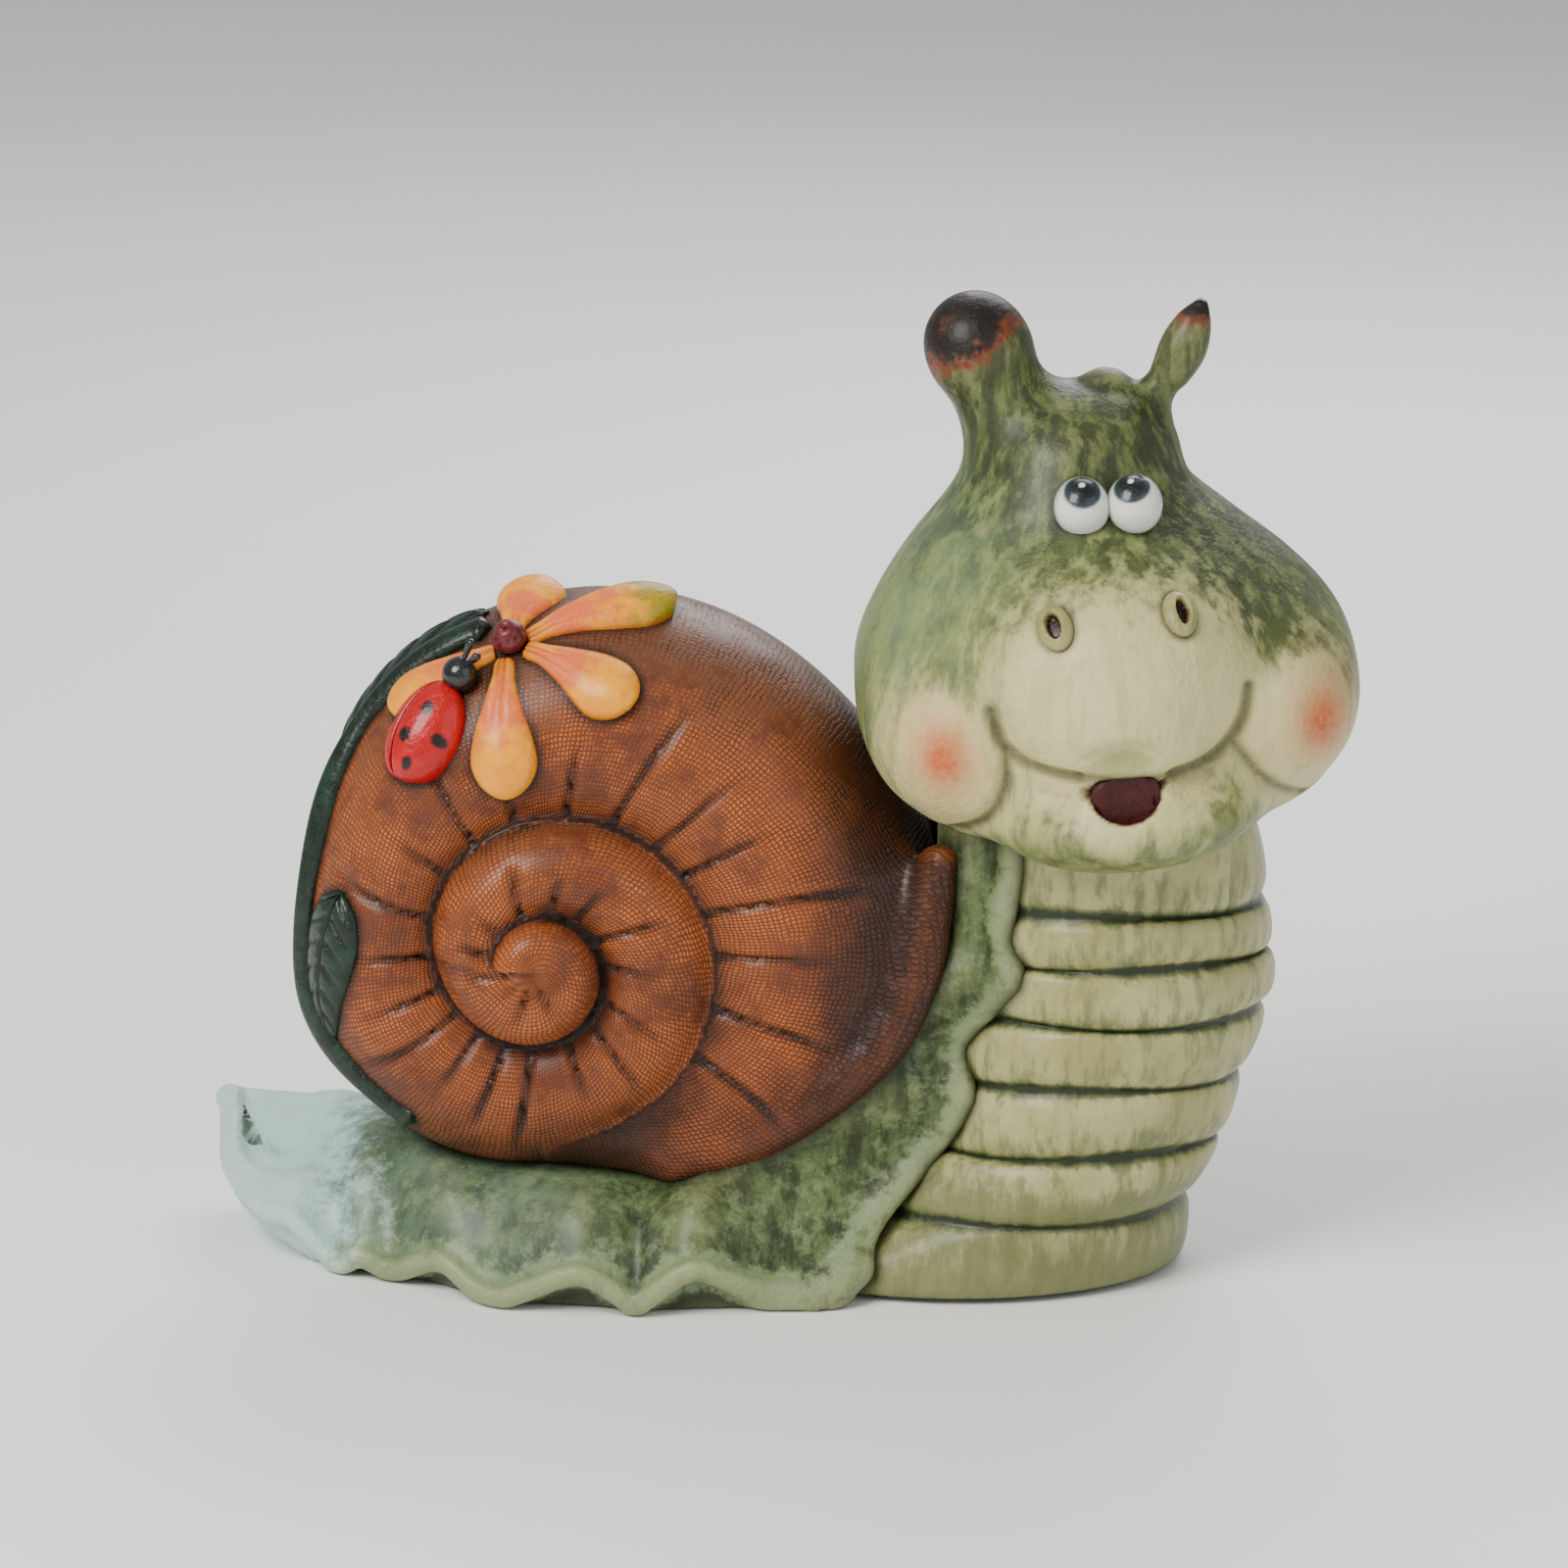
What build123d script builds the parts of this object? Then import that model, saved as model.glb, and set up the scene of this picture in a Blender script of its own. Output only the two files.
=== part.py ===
"""Glazed garden snail, cast and luted together from separate clay pieces.

Millimetres. +X runs from the tail to the front, -Y is the snail's right side, where
its face looks, and +Z is up. The origin is on the ground, under the shell.
"""
import os
from math import cos, pi, radians, sin, sqrt

from build123d import *

# Clay
clay_wall = 8
vent_radius = 1.8
overrun = 4

# Foot: a slab with a ruffled skirt, flat on the ground and lifted at the tail
tail_reach = 168
toe_reach = 66
foot_half_width = 82
foot_height = 54
tail_lift = 34
tail_sway = 16
skirt_thick = 8
skirt_bulge = 4
ruffle_height = 9
foot_stations = 30

# Ribbed neck: seven rolls of clay, one above the other
neck_height = 162
neck_half_width = 53
neck_lean = 150
rib_depth = 4
hollow_stations = 6

# Mantle: the frilled collar that climbs the back of the neck
mantle_height = 158
mantle_half_width = 60

# Shell: a coil of one growing roll of clay
coil_centre_x = -48
coil_height = 124
coil_reach = 142
shell_half_depth = 52
spire_rise = 26
coil_core_radius = 60
coil_core_tip_radius = 24
overlap_share = 0.5
roll_depth_share = 1.15
lip_radius = 8

# Head: cast upright, then set on the neck with a turn and a roll
head_x = 149
head_y = -12
head_height = 209
head_half_width = 89
head_half_depth = 70
head_drop = 50
head_rise = 116
head_roll = 5.5
face_turn = 7
face_shift = 5
muzzle_forward = 53
muzzle_up = 18
muzzle_half_width = 43
muzzle_half_depth = 37
muzzle_half_height = 36
cheek_aside = 58
cheek_forward = 31
cheek_drop = 5
cheek_radius = 30
jaw_forward = 60
jaw_drop = 22
jaw_half_width = 34
jaw_half_depth = 32
jaw_half_height = 15
mouth_drop = 15
mouth_half_width = 12
mouth_half_height = 7
mouth_depth = 18
crown_aside = 9
crown_up = 110
crown_radius = 10
room_stations = 8

# Stalks on the head
ball_radius = 18.3
stalk_radius = 19.5
flame_radius = 16

# Eyes and nostrils
eye_radius = 10
eye_height_share = 1.1
eye_spacing = 18.5
eye_forward = 42
eye_up = 84
nostril_aside = 22
nostril_up = 46
nostril_half_width = 6
nostril_half_height = 8.5
nostril_thick = 3.5
nostril_tilt = 20
nostril_hole_half_width = 2.3
nostril_hole_half_height = 4.8

# Flower, leaves, stem and ladybird on the shell
petal_half_width = 11
petal_half_thick = 4.5
bead_radius = 6
leaf_half_width = 12.5
leaf_half_thick = 3.5
stem_radius = 4
ladybird_half_width = 13.5
ladybird_half_thick = 9
ladybird_head_radius = 6.5
ladybird_head_lift_share = 0.6
feeler_radius = 1.2
feeler_length = 12


def smooth(table, place, column):
    """Read a column of a table at a place, on a smooth line through its rows."""
    last = len(table) - 1
    place = min(max(place, table[0][0]), table[last][0])
    row = max(i for i in range(last) if table[i][0] <= place)
    before = table[max(row - 1, 0)]
    start = table[row]
    end = table[row + 1]
    after = table[min(row + 2, last)]
    span = end[0] - start[0]
    step = (place - start[0]) / span
    slope_in = (end[column] - before[column]) / (end[0] - before[0]) * span
    slope_out = (after[column] - start[column]) / (after[0] - start[0]) * span
    square = step * step
    cube = square * step
    return (
        (2 * cube - 3 * square + 1) * start[column]
        + (cube - 2 * square + step) * slope_in
        + (3 * square - 2 * cube) * end[column]
        + (cube - square) * slope_out
    )


def oval(centre, ahead, side, half_side, half_other):
    """One closed oval, square to a line of travel."""
    with BuildSketch(Plane(origin=centre, x_dir=side, z_dir=ahead)) as section:
        Ellipse(half_side, half_other)
    return section.sketch


def rope(centres, radii, side):
    """Ovals along a line of centres, each square to the line there."""
    last = len(centres) - 1
    rows = []
    for i, centre in enumerate(centres):
        ahead = Vector(*centres[min(i + 1, last)]) - Vector(*centres[max(i - 1, 0)])
        rows.append(oval(centre, ahead, side, radii[i], radii[i]))
    return rows


def main_solid(shape):
    """The main solid of a shape, without the crumbs that a cut leaves."""
    return shape.solids().sort_by(SortBy.VOLUME)[-1]


# Foot
foot_length = tail_reach + toe_reach

# Place along the foot, then shares: sway, half width, floor, crown, near lift, far lift
foot_shares = [
    (0.000, 1.00, 0.34, 0.97, 0.76, 0.82, 1.02),
    (0.034, 0.88, 0.50, 0.66, 0.60, 0.62, 0.92),
    (0.103, 0.62, 0.60, 0.20, 0.52, 0.32, 0.80),
    (0.197, 0.31, 0.64, 0.00, 0.82, 0.12, 0.40),
    (0.312, 0.12, 0.71, 0.00, 0.96, 0.04, 0.08),
    (0.504, 0.00, 0.95, 0.00, 0.86, 0.00, 0.00),
    (0.720, 0.00, 0.99, 0.00, 0.84, 0.00, 0.00),
    (0.846, 0.00, 0.83, 0.00, 0.95, 0.00, 0.00),
    (1.000, 0.00, 0.70, 0.00, 1.00, 0.00, 0.00),
]

# Where the skirt touches the ground along the foot, one ruffle between each two
touch_shares = [(-0.10, 0), (0.19, 1), (0.31, 2), (0.46, 3), (0.66, 4), (0.88, 5), (1.10, 6)]


# Flank of the foot: place across as a share of the half width, height as a share of the rise
flank_shares = ((0.70, 0.30), (0.35, 0.85))


def ruffle(share):
    """How far a ruffle lifts the skirt at a share of the foot's length."""
    return ruffle_height * (1 - cos(2 * pi * smooth(touch_shares, share, 1))) / 2


def flank(middle, half_width, low, top):
    """The points of the foot's flank, from its edge up, on one hand."""
    return [(middle + half_width * out, low + (top - low) * up) for out, up in flank_shares]


def foot_section(share):
    """The foot cut across, at a share of its length."""
    sway, half, floor, crown, near, far = (smooth(foot_shares, share, c) for c in range(1, 7))
    middle = tail_sway * sway
    half_width = foot_half_width * half
    low = (tail_lift + overrun) * floor - overrun
    top = foot_height * crown
    near_low = tail_lift * max(near, 0) + ruffle(share)
    far_low = tail_lift * max(far, 0) + ruffle(share)
    inset = half_width - 2 * skirt_thick
    across = Plane(origin=(foot_length * share - tail_reach, 0, 0), x_dir=(0, 1, 0), z_dir=(1, 0, 0))
    near_edge = (middle - half_width, near_low)
    near_top = (middle - half_width, near_low + skirt_thick)
    far_edge = (middle + half_width, far_low)
    far_top = (middle + half_width, far_low + skirt_thick)
    with BuildSketch(across) as section:
        with BuildLine():
            Polyline(near_edge, (middle - inset, low), (middle + inset, low), far_edge)
            ThreePointArc(
                far_edge,
                (far_edge[0] + skirt_bulge, far_low + skirt_thick / 2),
                far_top,
            )
            Spline(
                far_top,
                *flank(middle, half_width, far_top[1], top),
                (middle, top),
                *reversed(flank(middle, -half_width, near_top[1], top)),
                near_top,
            )
            ThreePointArc(
                near_top,
                (near_edge[0] - skirt_bulge, near_low + skirt_thick / 2),
                near_edge,
            )
        make_face()
    return section.sketch


# Neck: height, place, half length and half width of each groove, as shares
groove_shares = [
    (0.000, 0.61, 1.55, 1.08),
    (0.151, 0.79, 1.09, 1.07),
    (0.293, 0.89, 1.02, 1.00),
    (0.446, 0.95, 1.00, 0.99),
    (0.591, 0.99, 1.02, 1.01),
    (0.722, 1.00, 1.01, 1.00),
    (0.837, 1.00, 1.00, 1.00),
    (1.000, 1.00, 0.94, 0.94),
]


def neck_oval(height_share, swell):
    """The neck cut level, at a share of its height, swollen or shrunk by a wall."""
    centre = (neck_lean * smooth(groove_shares, height_share, 1), 0, neck_height * height_share)
    length = neck_half_width * smooth(groove_shares, height_share, 2) + swell
    width = neck_half_width * smooth(groove_shares, height_share, 3) + swell
    return oval(centre, (0, 0, 1), (1, 0, 0), length, width)


with BuildPart() as neck_form:
    for below, above in zip(groove_shares, groove_shares[1:]):
        middle_share = (below[0] + above[0]) / 2
        rib = [neck_oval(below[0], 0), neck_oval(middle_share, rib_depth), neck_oval(above[0], 0)]
        loft(sections=rib)

with BuildPart() as neck_hollow:
    hollow_low = clay_wall / neck_height
    hollow_step = (1 - 2 * hollow_low) / hollow_stations
    hollow_shares = [hollow_low + hollow_step * i for i in range(hollow_stations + 1)]
    loft(sections=[neck_oval(share, -clay_wall) for share in hollow_shares])


# Shell
# Turn in degrees, then the coil's reach there, as a share of its greatest reach
reach_shares = [
    (0, 0.092),
    (90, 0.110),
    (180, 0.148),
    (270, 0.225),
    (360, 0.258),
    (450, 0.331),
    (540, 0.451),
    (630, 0.612),
    (720, 0.634),
    (765, 0.746),
    (810, 0.866),
    (855, 0.958),
    (900, 1.000),
    (945, 0.800),
    (990, 0.600),
]

# The space inside the shell: its radius, and its place from the coil's centre
inside_shares = (0.55, 0.17, 0.15)

# Turn, then how far the coil's face stands out, as a share of the spire's rise
rise_shares = [(0, 1.00), (180, 0.84), (360, 0.66), (540, 0.42), (720, 0.12), (990, 0.00)]
side_turn = 630
last_turn = 990
half_turn = 180
turn_step = 45


def reach(turn):
    """How far the coil reaches from its centre at a turn."""
    return coil_reach * smooth(reach_shares, turn, 1)


def roll_of(turn):
    """The roll of clay at a turn: its centre's distance, half width, half depth and place across."""
    outer = reach(turn)
    inner = overlap_share * reach(turn - 360) if turn > 360 else 0
    half = (outer - inner) / 2
    face = shell_half_depth + spire_rise * smooth(rise_shares, turn, 1)
    if turn >= side_turn:
        return (outer + inner) / 2, half, face, 0
    half_depth = half * roll_depth_share
    return (outer + inner) / 2, half, half_depth, half_depth - face


def coil_point(turn, distance, across):
    """A point at a turn of the coil, so far from its centre and so far across."""
    angle = radians(turn)
    return (coil_centre_x - distance * cos(angle), across, coil_height + distance * sin(angle))


def coil_oval(turn):
    """The roll of clay cut across at a turn."""
    distance, half, half_depth, across = roll_of(turn)
    angle = radians(turn)
    outward = (-cos(angle), 0, sin(angle))
    ahead = (sin(angle), 0, cos(angle))
    return oval(coil_point(turn, distance, across), ahead, outward, half, half_depth)


def on_shell(turn, across):
    """The plane that touches the outer roll at a turn and a place across."""
    distance, half, half_depth, _ = roll_of(turn)
    level = sqrt(1 - (across / half_depth) ** 2)
    angle = radians(turn)
    point = coil_point(turn, distance + half * level, across)
    lean = level / half
    drop = across / half_depth**2
    normal = Vector(-cos(angle) * lean, drop, sin(angle) * lean).normalized()
    return Vector(*point), normal


spire_face = shell_half_depth + spire_rise

with BuildPart() as shell_side:
    for first in range(0, side_turn, half_turn):
        turns = range(first, min(first + half_turn, side_turn) + 1, turn_step)
        loft(sections=[coil_oval(turn) for turn in turns], clean=False)
    with BuildSketch(Plane.XZ):
        with Locations((coil_centre_x, coil_height)):
            Circle(coil_core_radius)
    with BuildSketch(Plane.XZ.offset(shell_half_depth)):
        with Locations((coil_centre_x, coil_height)):
            Circle(coil_core_tip_radius)
    loft(clean=False)
    knob = Pos(coil_centre_x, reach(0) - spire_face, coil_height) * Sphere(reach(0), mode=Mode.PRIVATE)
    add(knob, clean=False)

with BuildPart() as shell_form:
    for first in range(side_turn, last_turn, half_turn):
        turns = range(first, first + half_turn + 1, turn_step)
        loft(sections=[coil_oval(turn) for turn in turns], clean=False)
    add(shell_side.part.solids(), clean=False)
    add(mirror(shell_side.part, about=Plane.XZ, mode=Mode.PRIVATE).solids(), clean=False)

# Foot
with BuildPart() as foot:
    shares = [i / foot_stations for i in range(foot_stations + 1)]
    loft(sections=[foot_section(share) for share in shares], clean=False)
    split(bisect_by=Plane.XY, keep=Keep.TOP)
    add(neck_form.part, mode=Mode.SUBTRACT, clean=False)
    add(shell_form.part, mode=Mode.SUBTRACT, clean=False)
    add(main_solid(foot.part), mode=Mode.REPLACE, clean=False)
foot.part.label = "foot"


# Lip of the shell, on each side
# Place from the coil's centre and across, as shares of the coil's reach and the shell's half depth
lip_shares = [
    (0.363, -0.549, 0.93),
    (0.620, -0.437, 0.96),
    (0.850, -0.260, 0.94),
    (0.955, -0.050, 0.84),
    (0.975, 0.160, 0.60),
]


def lip_ovals(hand):
    """The roll along the shell's mouth, on one hand."""
    side = hand * shell_half_depth
    centres = [
        (coil_centre_x + coil_reach * along, side * across, coil_height + coil_reach * up)
        for along, up, across in lip_shares
    ]
    return rope(centres, [lip_radius] * len(centres), (0, 1, 0))


def make_lip(name, hand):
    """One lip, cut to sit against the shell, the foot and the neck."""
    with BuildPart() as lip:
        loft(sections=lip_ovals(hand), clean=False)
        for neighbour in (shell_form, foot, neck_form):
            add(neighbour.part, mode=Mode.SUBTRACT, clean=False)
        add(main_solid(lip.part), mode=Mode.REPLACE, clean=False)
    lip.part.label = name
    return lip


shell_lip_right = make_lip("shell_lip_right", -1)
shell_lip_left = make_lip("shell_lip_left", 1)


# Mantle: height, then the frill's place and half width, and the back's place and half width
mantle_shares = [
    (0.089, 0.40, 1.00, -0.07, 1.03),
    (0.190, 0.45, 0.80, 0.03, 0.95),
    (0.304, 0.57, 0.70, 0.13, 0.90),
    (0.450, 0.67, 0.72, 0.33, 0.86),
    (0.570, 0.65, 0.66, 0.46, 0.82),
    (0.734, 0.76, 0.78, 0.57, 0.78),
    (0.823, 0.75, 0.78, 0.60, 0.72),
    (1.000, 0.76, 0.78, 0.61, 0.66),
]


def mantle_section(height_share):
    """The mantle cut level: two rolled frills in front, and a round back inside the shell."""
    frill_x, frill_y, back_x, back_y = (smooth(mantle_shares, height_share, c) for c in range(1, 5))
    front = neck_lean * frill_x
    side = mantle_half_width * frill_y
    back = neck_lean * back_x
    back_side = mantle_half_width * back_y
    roll = skirt_thick / 2
    with BuildSketch(Plane.XY.offset(mantle_height * height_share)) as section:
        with BuildLine():
            Line((front, side - roll), (front, roll - side))
            ThreePointArc((front, roll - side), (front + roll, -side), (front, -side - roll))
            Spline(
                (front, -side - roll),
                ((front + back) / 2, -(side + back_side) / 2),
                (back, -back_side),
                (back - back_side / 2, 0),
                (back, back_side),
                ((front + back) / 2, (side + back_side) / 2),
                (front, side + roll),
            )
            ThreePointArc((front, side + roll), (front + roll, side), (front, side - roll))
        make_face()
    return section.sketch


with BuildPart() as mantle:
    loft(sections=[mantle_section(row[0]) for row in mantle_shares], clean=False)
    for neighbour in (neck_form, shell_form, foot, shell_lip_right, shell_lip_left):
        add(neighbour.part, mode=Mode.SUBTRACT, clean=False)
    add(main_solid(mantle.part), mode=Mode.REPLACE, clean=False)
mantle.part.label = "mantle"

# Head
turn_rad = radians(face_turn)
roll_rad = radians(head_roll)
head_place = Vector(head_x, head_y, head_height)
face_ahead = Vector(sin(turn_rad), -cos(turn_rad), 0)
face_side = Vector(cos(turn_rad) * cos(roll_rad), sin(turn_rad) * cos(roll_rad), sin(roll_rad))
face_up = Vector(-cos(turn_rad) * sin(roll_rad), -sin(turn_rad) * sin(roll_rad), cos(roll_rad))

# Height up the head, then half width and half depth, as shares
head_shares = [
    (0.000, 0.50, 0.62),
    (0.060, 0.70, 0.78),
    (0.133, 0.885, 0.90),
    (0.217, 0.975, 0.97),
    (0.301, 1.000, 1.00),
    (0.386, 0.995, 1.00),
    (0.470, 0.965, 0.96),
    (0.572, 0.880, 0.88),
    (0.663, 0.750, 0.78),
    (0.753, 0.600, 0.66),
    (0.843, 0.490, 0.55),
    (0.934, 0.425, 0.44),
    (1.000, 0.400, 0.34),
]


def head_point(aside, forward, up):
    """A place on the head, measured from its centre along the face's own directions."""
    return head_place + face_side * aside + face_ahead * forward + face_up * up


def head_oval(share, swell):
    """The head cut across its own upright line, swollen or shrunk by a wall."""
    up = (head_drop + head_rise) * share - head_drop
    half_width = head_half_width * smooth(head_shares, share, 1) + swell
    half_depth = head_half_depth * smooth(head_shares, share, 2) + swell
    return oval(head_point(0, 0, up), face_up, face_side, half_width, half_depth)


def lump(place, half_aside, half_forward, half_up):
    """A rounded lump of clay that follows the face's directions."""
    frame = Plane(origin=place, x_dir=face_side, z_dir=face_up)
    return frame.location * Sphere(1, mode=Mode.PRIVATE).scale((half_aside, half_forward, half_up))


with BuildPart() as head_form:
    loft(sections=[head_oval(row[0], 0) for row in head_shares], clean=False)
    for hand in (-1, 1):
        cheek = head_point(hand * cheek_aside, cheek_forward, -cheek_drop)
        add(lump(cheek, cheek_radius, cheek_radius, cheek_radius), clean=False)
    muzzle_place = head_point(0, muzzle_forward, muzzle_up)
    add(lump(muzzle_place, muzzle_half_width, muzzle_half_depth, muzzle_half_height), clean=False)
    jaw_place = head_point(0, jaw_forward, -jaw_drop)
    add(lump(jaw_place, jaw_half_width, jaw_half_depth, jaw_half_height), clean=False)
    crown_place = head_point(crown_aside, 0, crown_up)
    add(lump(crown_place, crown_radius, crown_radius, crown_radius), clean=False)

with BuildPart() as head:
    add(head_form.part, clean=False)
    mouth_place = head_point(0, jaw_forward + jaw_half_depth, -mouth_drop)
    mouth_form = lump(mouth_place, mouth_half_width, mouth_depth, mouth_half_height)
    add(mouth_form, mode=Mode.SUBTRACT, clean=False)
    wall_share = clay_wall / (head_drop + head_rise)
    room_step = (1 - 2 * wall_share) / room_stations
    room_shares = [wall_share + room_step * i for i in range(room_stations + 1)]
    loft(sections=[head_oval(share, -clay_wall) for share in room_shares], mode=Mode.SUBTRACT, clean=False)
    with BuildSketch(Plane.XY.offset(neck_height - 2 * clay_wall)):
        with Locations((head_x, head_y)):
            Circle(vent_radius)
    extrude(amount=head_drop, mode=Mode.SUBTRACT, clean=False)
head.part.label = "head"

# The shell is hollow, and the head leans against it
with BuildPart() as shell:
    add(shell_form.part, clean=False)
    inside_radius = coil_reach * inside_shares[0]
    inside_form = Sphere(1, mode=Mode.PRIVATE)
    inside_form = inside_form.scale((inside_radius, shell_half_depth - 2 * clay_wall, inside_radius))
    inside_x = coil_centre_x + coil_reach * inside_shares[1]
    inside_z = coil_height + coil_reach * inside_shares[2]
    add(Pos(inside_x, 0, inside_z) * inside_form, mode=Mode.SUBTRACT, clean=False)
    add(head_form.part, mode=Mode.SUBTRACT, clean=False)
shell.part.label = "shell"

# The neck ends under the head, and is vented through the ground and into the head
with BuildPart() as ribbed_neck:
    add(neck_form.part, clean=False)
    add(neck_hollow.part, mode=Mode.SUBTRACT, clean=False)
    add(head_form.part, mode=Mode.SUBTRACT, clean=False)
    with BuildSketch(Plane.XY):
        with Locations((neck_lean * groove_shares[1][1], 0)):
            Circle(vent_radius)
    extrude(amount=clay_wall + overrun, mode=Mode.SUBTRACT, clean=False)
    add(main_solid(ribbed_neck.part), mode=Mode.REPLACE, clean=False)
ribbed_neck.part.label = "ribbed_neck"

# Stalks: aside and up from the head's centre, then the radius, as shares
ball_stalk_shares = [
    (-0.190, 0.716, 1.00),
    (-0.238, 0.866, 0.95),
    (-0.290, 0.991, 1.00),
    (-0.345, 1.090, 0.95),
]
ball_place_share = (-0.382, 1.154)
flame_stalk_shares = [
    (0.175, 0.775, 1.10),
    (0.212, 0.885, 1.00),
    (0.262, 0.960, 0.81),
    (0.350, 1.010, 0.55),
    (0.431, 1.073, 0.55),
    (0.471, 1.134, 0.46),
    (0.504, 1.193, 0.22),
    (0.518, 1.236, 0.05),
]


def stalk_ovals(shares, radius):
    """A stalk that grows out of the head."""
    centres = [head_point(head_half_width * aside, 0, head_rise * up) for aside, up, _ in shares]
    radii = [radius * row[2] for row in shares]
    return rope([tuple(centre) for centre in centres], radii, tuple(face_side))


with BuildPart() as stalk_right:
    loft(sections=stalk_ovals(ball_stalk_shares, stalk_radius), clean=False)
    ball_place = head_point(head_half_width * ball_place_share[0], 0, head_rise * ball_place_share[1])
    add(lump(ball_place, ball_radius, ball_radius, ball_radius), clean=False)
    add(head_form.part, mode=Mode.SUBTRACT, clean=False)
    add(main_solid(stalk_right.part), mode=Mode.REPLACE, clean=False)
stalk_right.part.label = "stalk_right"

with BuildPart() as stalk_left:
    loft(sections=stalk_ovals(flame_stalk_shares, flame_radius), clean=False)
    for neighbour in (head_form, stalk_right):
        add(neighbour.part, mode=Mode.SUBTRACT, clean=False)
    add(main_solid(stalk_left.part), mode=Mode.REPLACE, clean=False)
stalk_left.part.label = "stalk_left"


# Eyes
def make_eye(name, hand, neighbours):
    """One eyeball, seated on the brow."""
    with BuildPart() as eye:
        place = head_point(face_shift + hand * eye_spacing / 2, eye_forward, eye_up)
        add(lump(place, eye_radius, eye_radius, eye_radius * eye_height_share), clean=False)
        for neighbour in neighbours:
            add(neighbour.part, mode=Mode.SUBTRACT, clean=False)
        add(main_solid(eye.part), mode=Mode.REPLACE, clean=False)
    eye.part.label = name
    return eye


eye_right = make_eye("eye_right", -1, (head_form,))
eye_left = make_eye("eye_left", 1, (head_form, eye_right))


# Nostrils
def make_nostril(name, hand):
    """One raised nostril rim with its slot, on the muzzle."""
    aside = hand * nostril_aside
    up = nostril_up - muzzle_up
    aside_share = aside / muzzle_half_width
    up_share = up / muzzle_half_height
    level = sqrt(1 - aside_share**2 - up_share**2)
    place = head_point(aside, muzzle_forward + muzzle_half_depth * level, nostril_up)
    out = (
        face_side * (aside_share / muzzle_half_width)
        + face_ahead * (level / muzzle_half_depth)
        + face_up * (up_share / muzzle_half_height)
    )
    seat = Plane(origin=place, x_dir=face_side - out * (face_side.dot(out) / out.dot(out)), z_dir=out)
    with BuildPart() as nostril:
        with BuildSketch(seat.offset(-nostril_thick)):
            Ellipse(nostril_half_width, nostril_half_height, rotation=-hand * nostril_tilt)
        extrude(amount=2 * nostril_thick)
        fillet(nostril.faces().sort_by(Axis(place, out))[-1].edges(), radius=nostril_thick / 2)
        with BuildSketch(seat.offset(-nostril_thick)):
            Ellipse(nostril_hole_half_width, nostril_hole_half_height, rotation=-hand * nostril_tilt)
        extrude(amount=2 * nostril_thick + overrun, mode=Mode.SUBTRACT)
        add(head_form.part, mode=Mode.SUBTRACT, clean=False)
        add(main_solid(nostril.part), mode=Mode.REPLACE, clean=False)
    nostril.part.label = name
    return nostril


nostril_right = make_nostril("nostril_right", -1)
nostril_left = make_nostril("nostril_left", 1)


# Pieces pressed on the shell
def pressed(start, end, half_width, half_thick):
    """A flat drop of clay on the shell, from one place to another, each a turn and a share across."""
    first, _ = on_shell(start[0], start[1] * shell_half_depth)
    last, _ = on_shell(end[0], end[1] * shell_half_depth)
    middle, out = on_shell((start[0] + end[0]) / 2, (start[1] + end[1]) / 2 * shell_half_depth)
    along = last - first
    frame = Plane(origin=middle, x_dir=along - out * along.dot(out), z_dir=out)
    return frame.location * Sphere(1, mode=Mode.PRIVATE).scale((along.length / 2, half_width, half_thick))


def press_on(name, drop, neighbours):
    """One pressed piece, cut to lie on the shell and against the pieces under it."""
    with BuildPart() as piece:
        add(drop, clean=False)
        for neighbour in neighbours:
            add(neighbour.part, mode=Mode.SUBTRACT, clean=False)
        add(main_solid(piece.part), mode=Mode.REPLACE, clean=False)
    piece.part.label = name
    return piece


# Stem: turn, and place across as a share of the shell's half depth
stem_shares = [
    (796, -0.30),
    (780, 0.05),
    (762, 0.12),
    (742, 0.06),
    (722, -0.10),
    (702, -0.22),
    (684, -0.42),
    (668, -0.66),
]


def stem_ovals():
    """The stem's round sections, along the shell's back edge."""
    centres = [tuple(on_shell(turn, across * shell_half_depth)[0]) for turn, across in stem_shares]
    return rope(centres, [stem_radius] * len(centres), (0, 1, 0))


with BuildPart() as stem:
    loft(sections=stem_ovals(), clean=False)
    for neighbour in (shell_form, foot):
        add(neighbour.part, mode=Mode.SUBTRACT, clean=False)
    add(main_solid(stem.part), mode=Mode.REPLACE, clean=False)
stem.part.label = "stem"

# Petals: the start and the end as a turn and a share across, then the half width as a share
petal_shares = {
    "petal_lower_right": ((805, -0.67), (830, -0.93), 0.95),
    "petal_lower": ((801, -0.70), (792, -0.985), 0.95),
    "petal_left": ((801, -0.62), (769, -0.54), 1),
    "petal_upper_left": ((804, -0.60), (812, -0.16), 1.1),
    "petal_upper_right": ((805, -0.62), (830, -0.20), 1),
}
flower_share = (803, -0.64)

bead_point, bead_out = on_shell(flower_share[0], flower_share[1] * shell_half_depth)
bead_frame = Plane(origin=bead_point + bead_out * petal_half_thick, z_dir=bead_out)
bead_ball = Sphere(bead_radius, mode=Mode.PRIVATE)
flower_bead = press_on("flower_bead", bead_frame.location * bead_ball, (shell_form, stem))

petals = []
for name, (start, end, width_share) in petal_shares.items():
    drop = pressed(start, end, petal_half_width * width_share, petal_half_thick)
    petals.append(press_on(name, drop, [shell_form, stem, flower_bead, *petals]))

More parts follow.
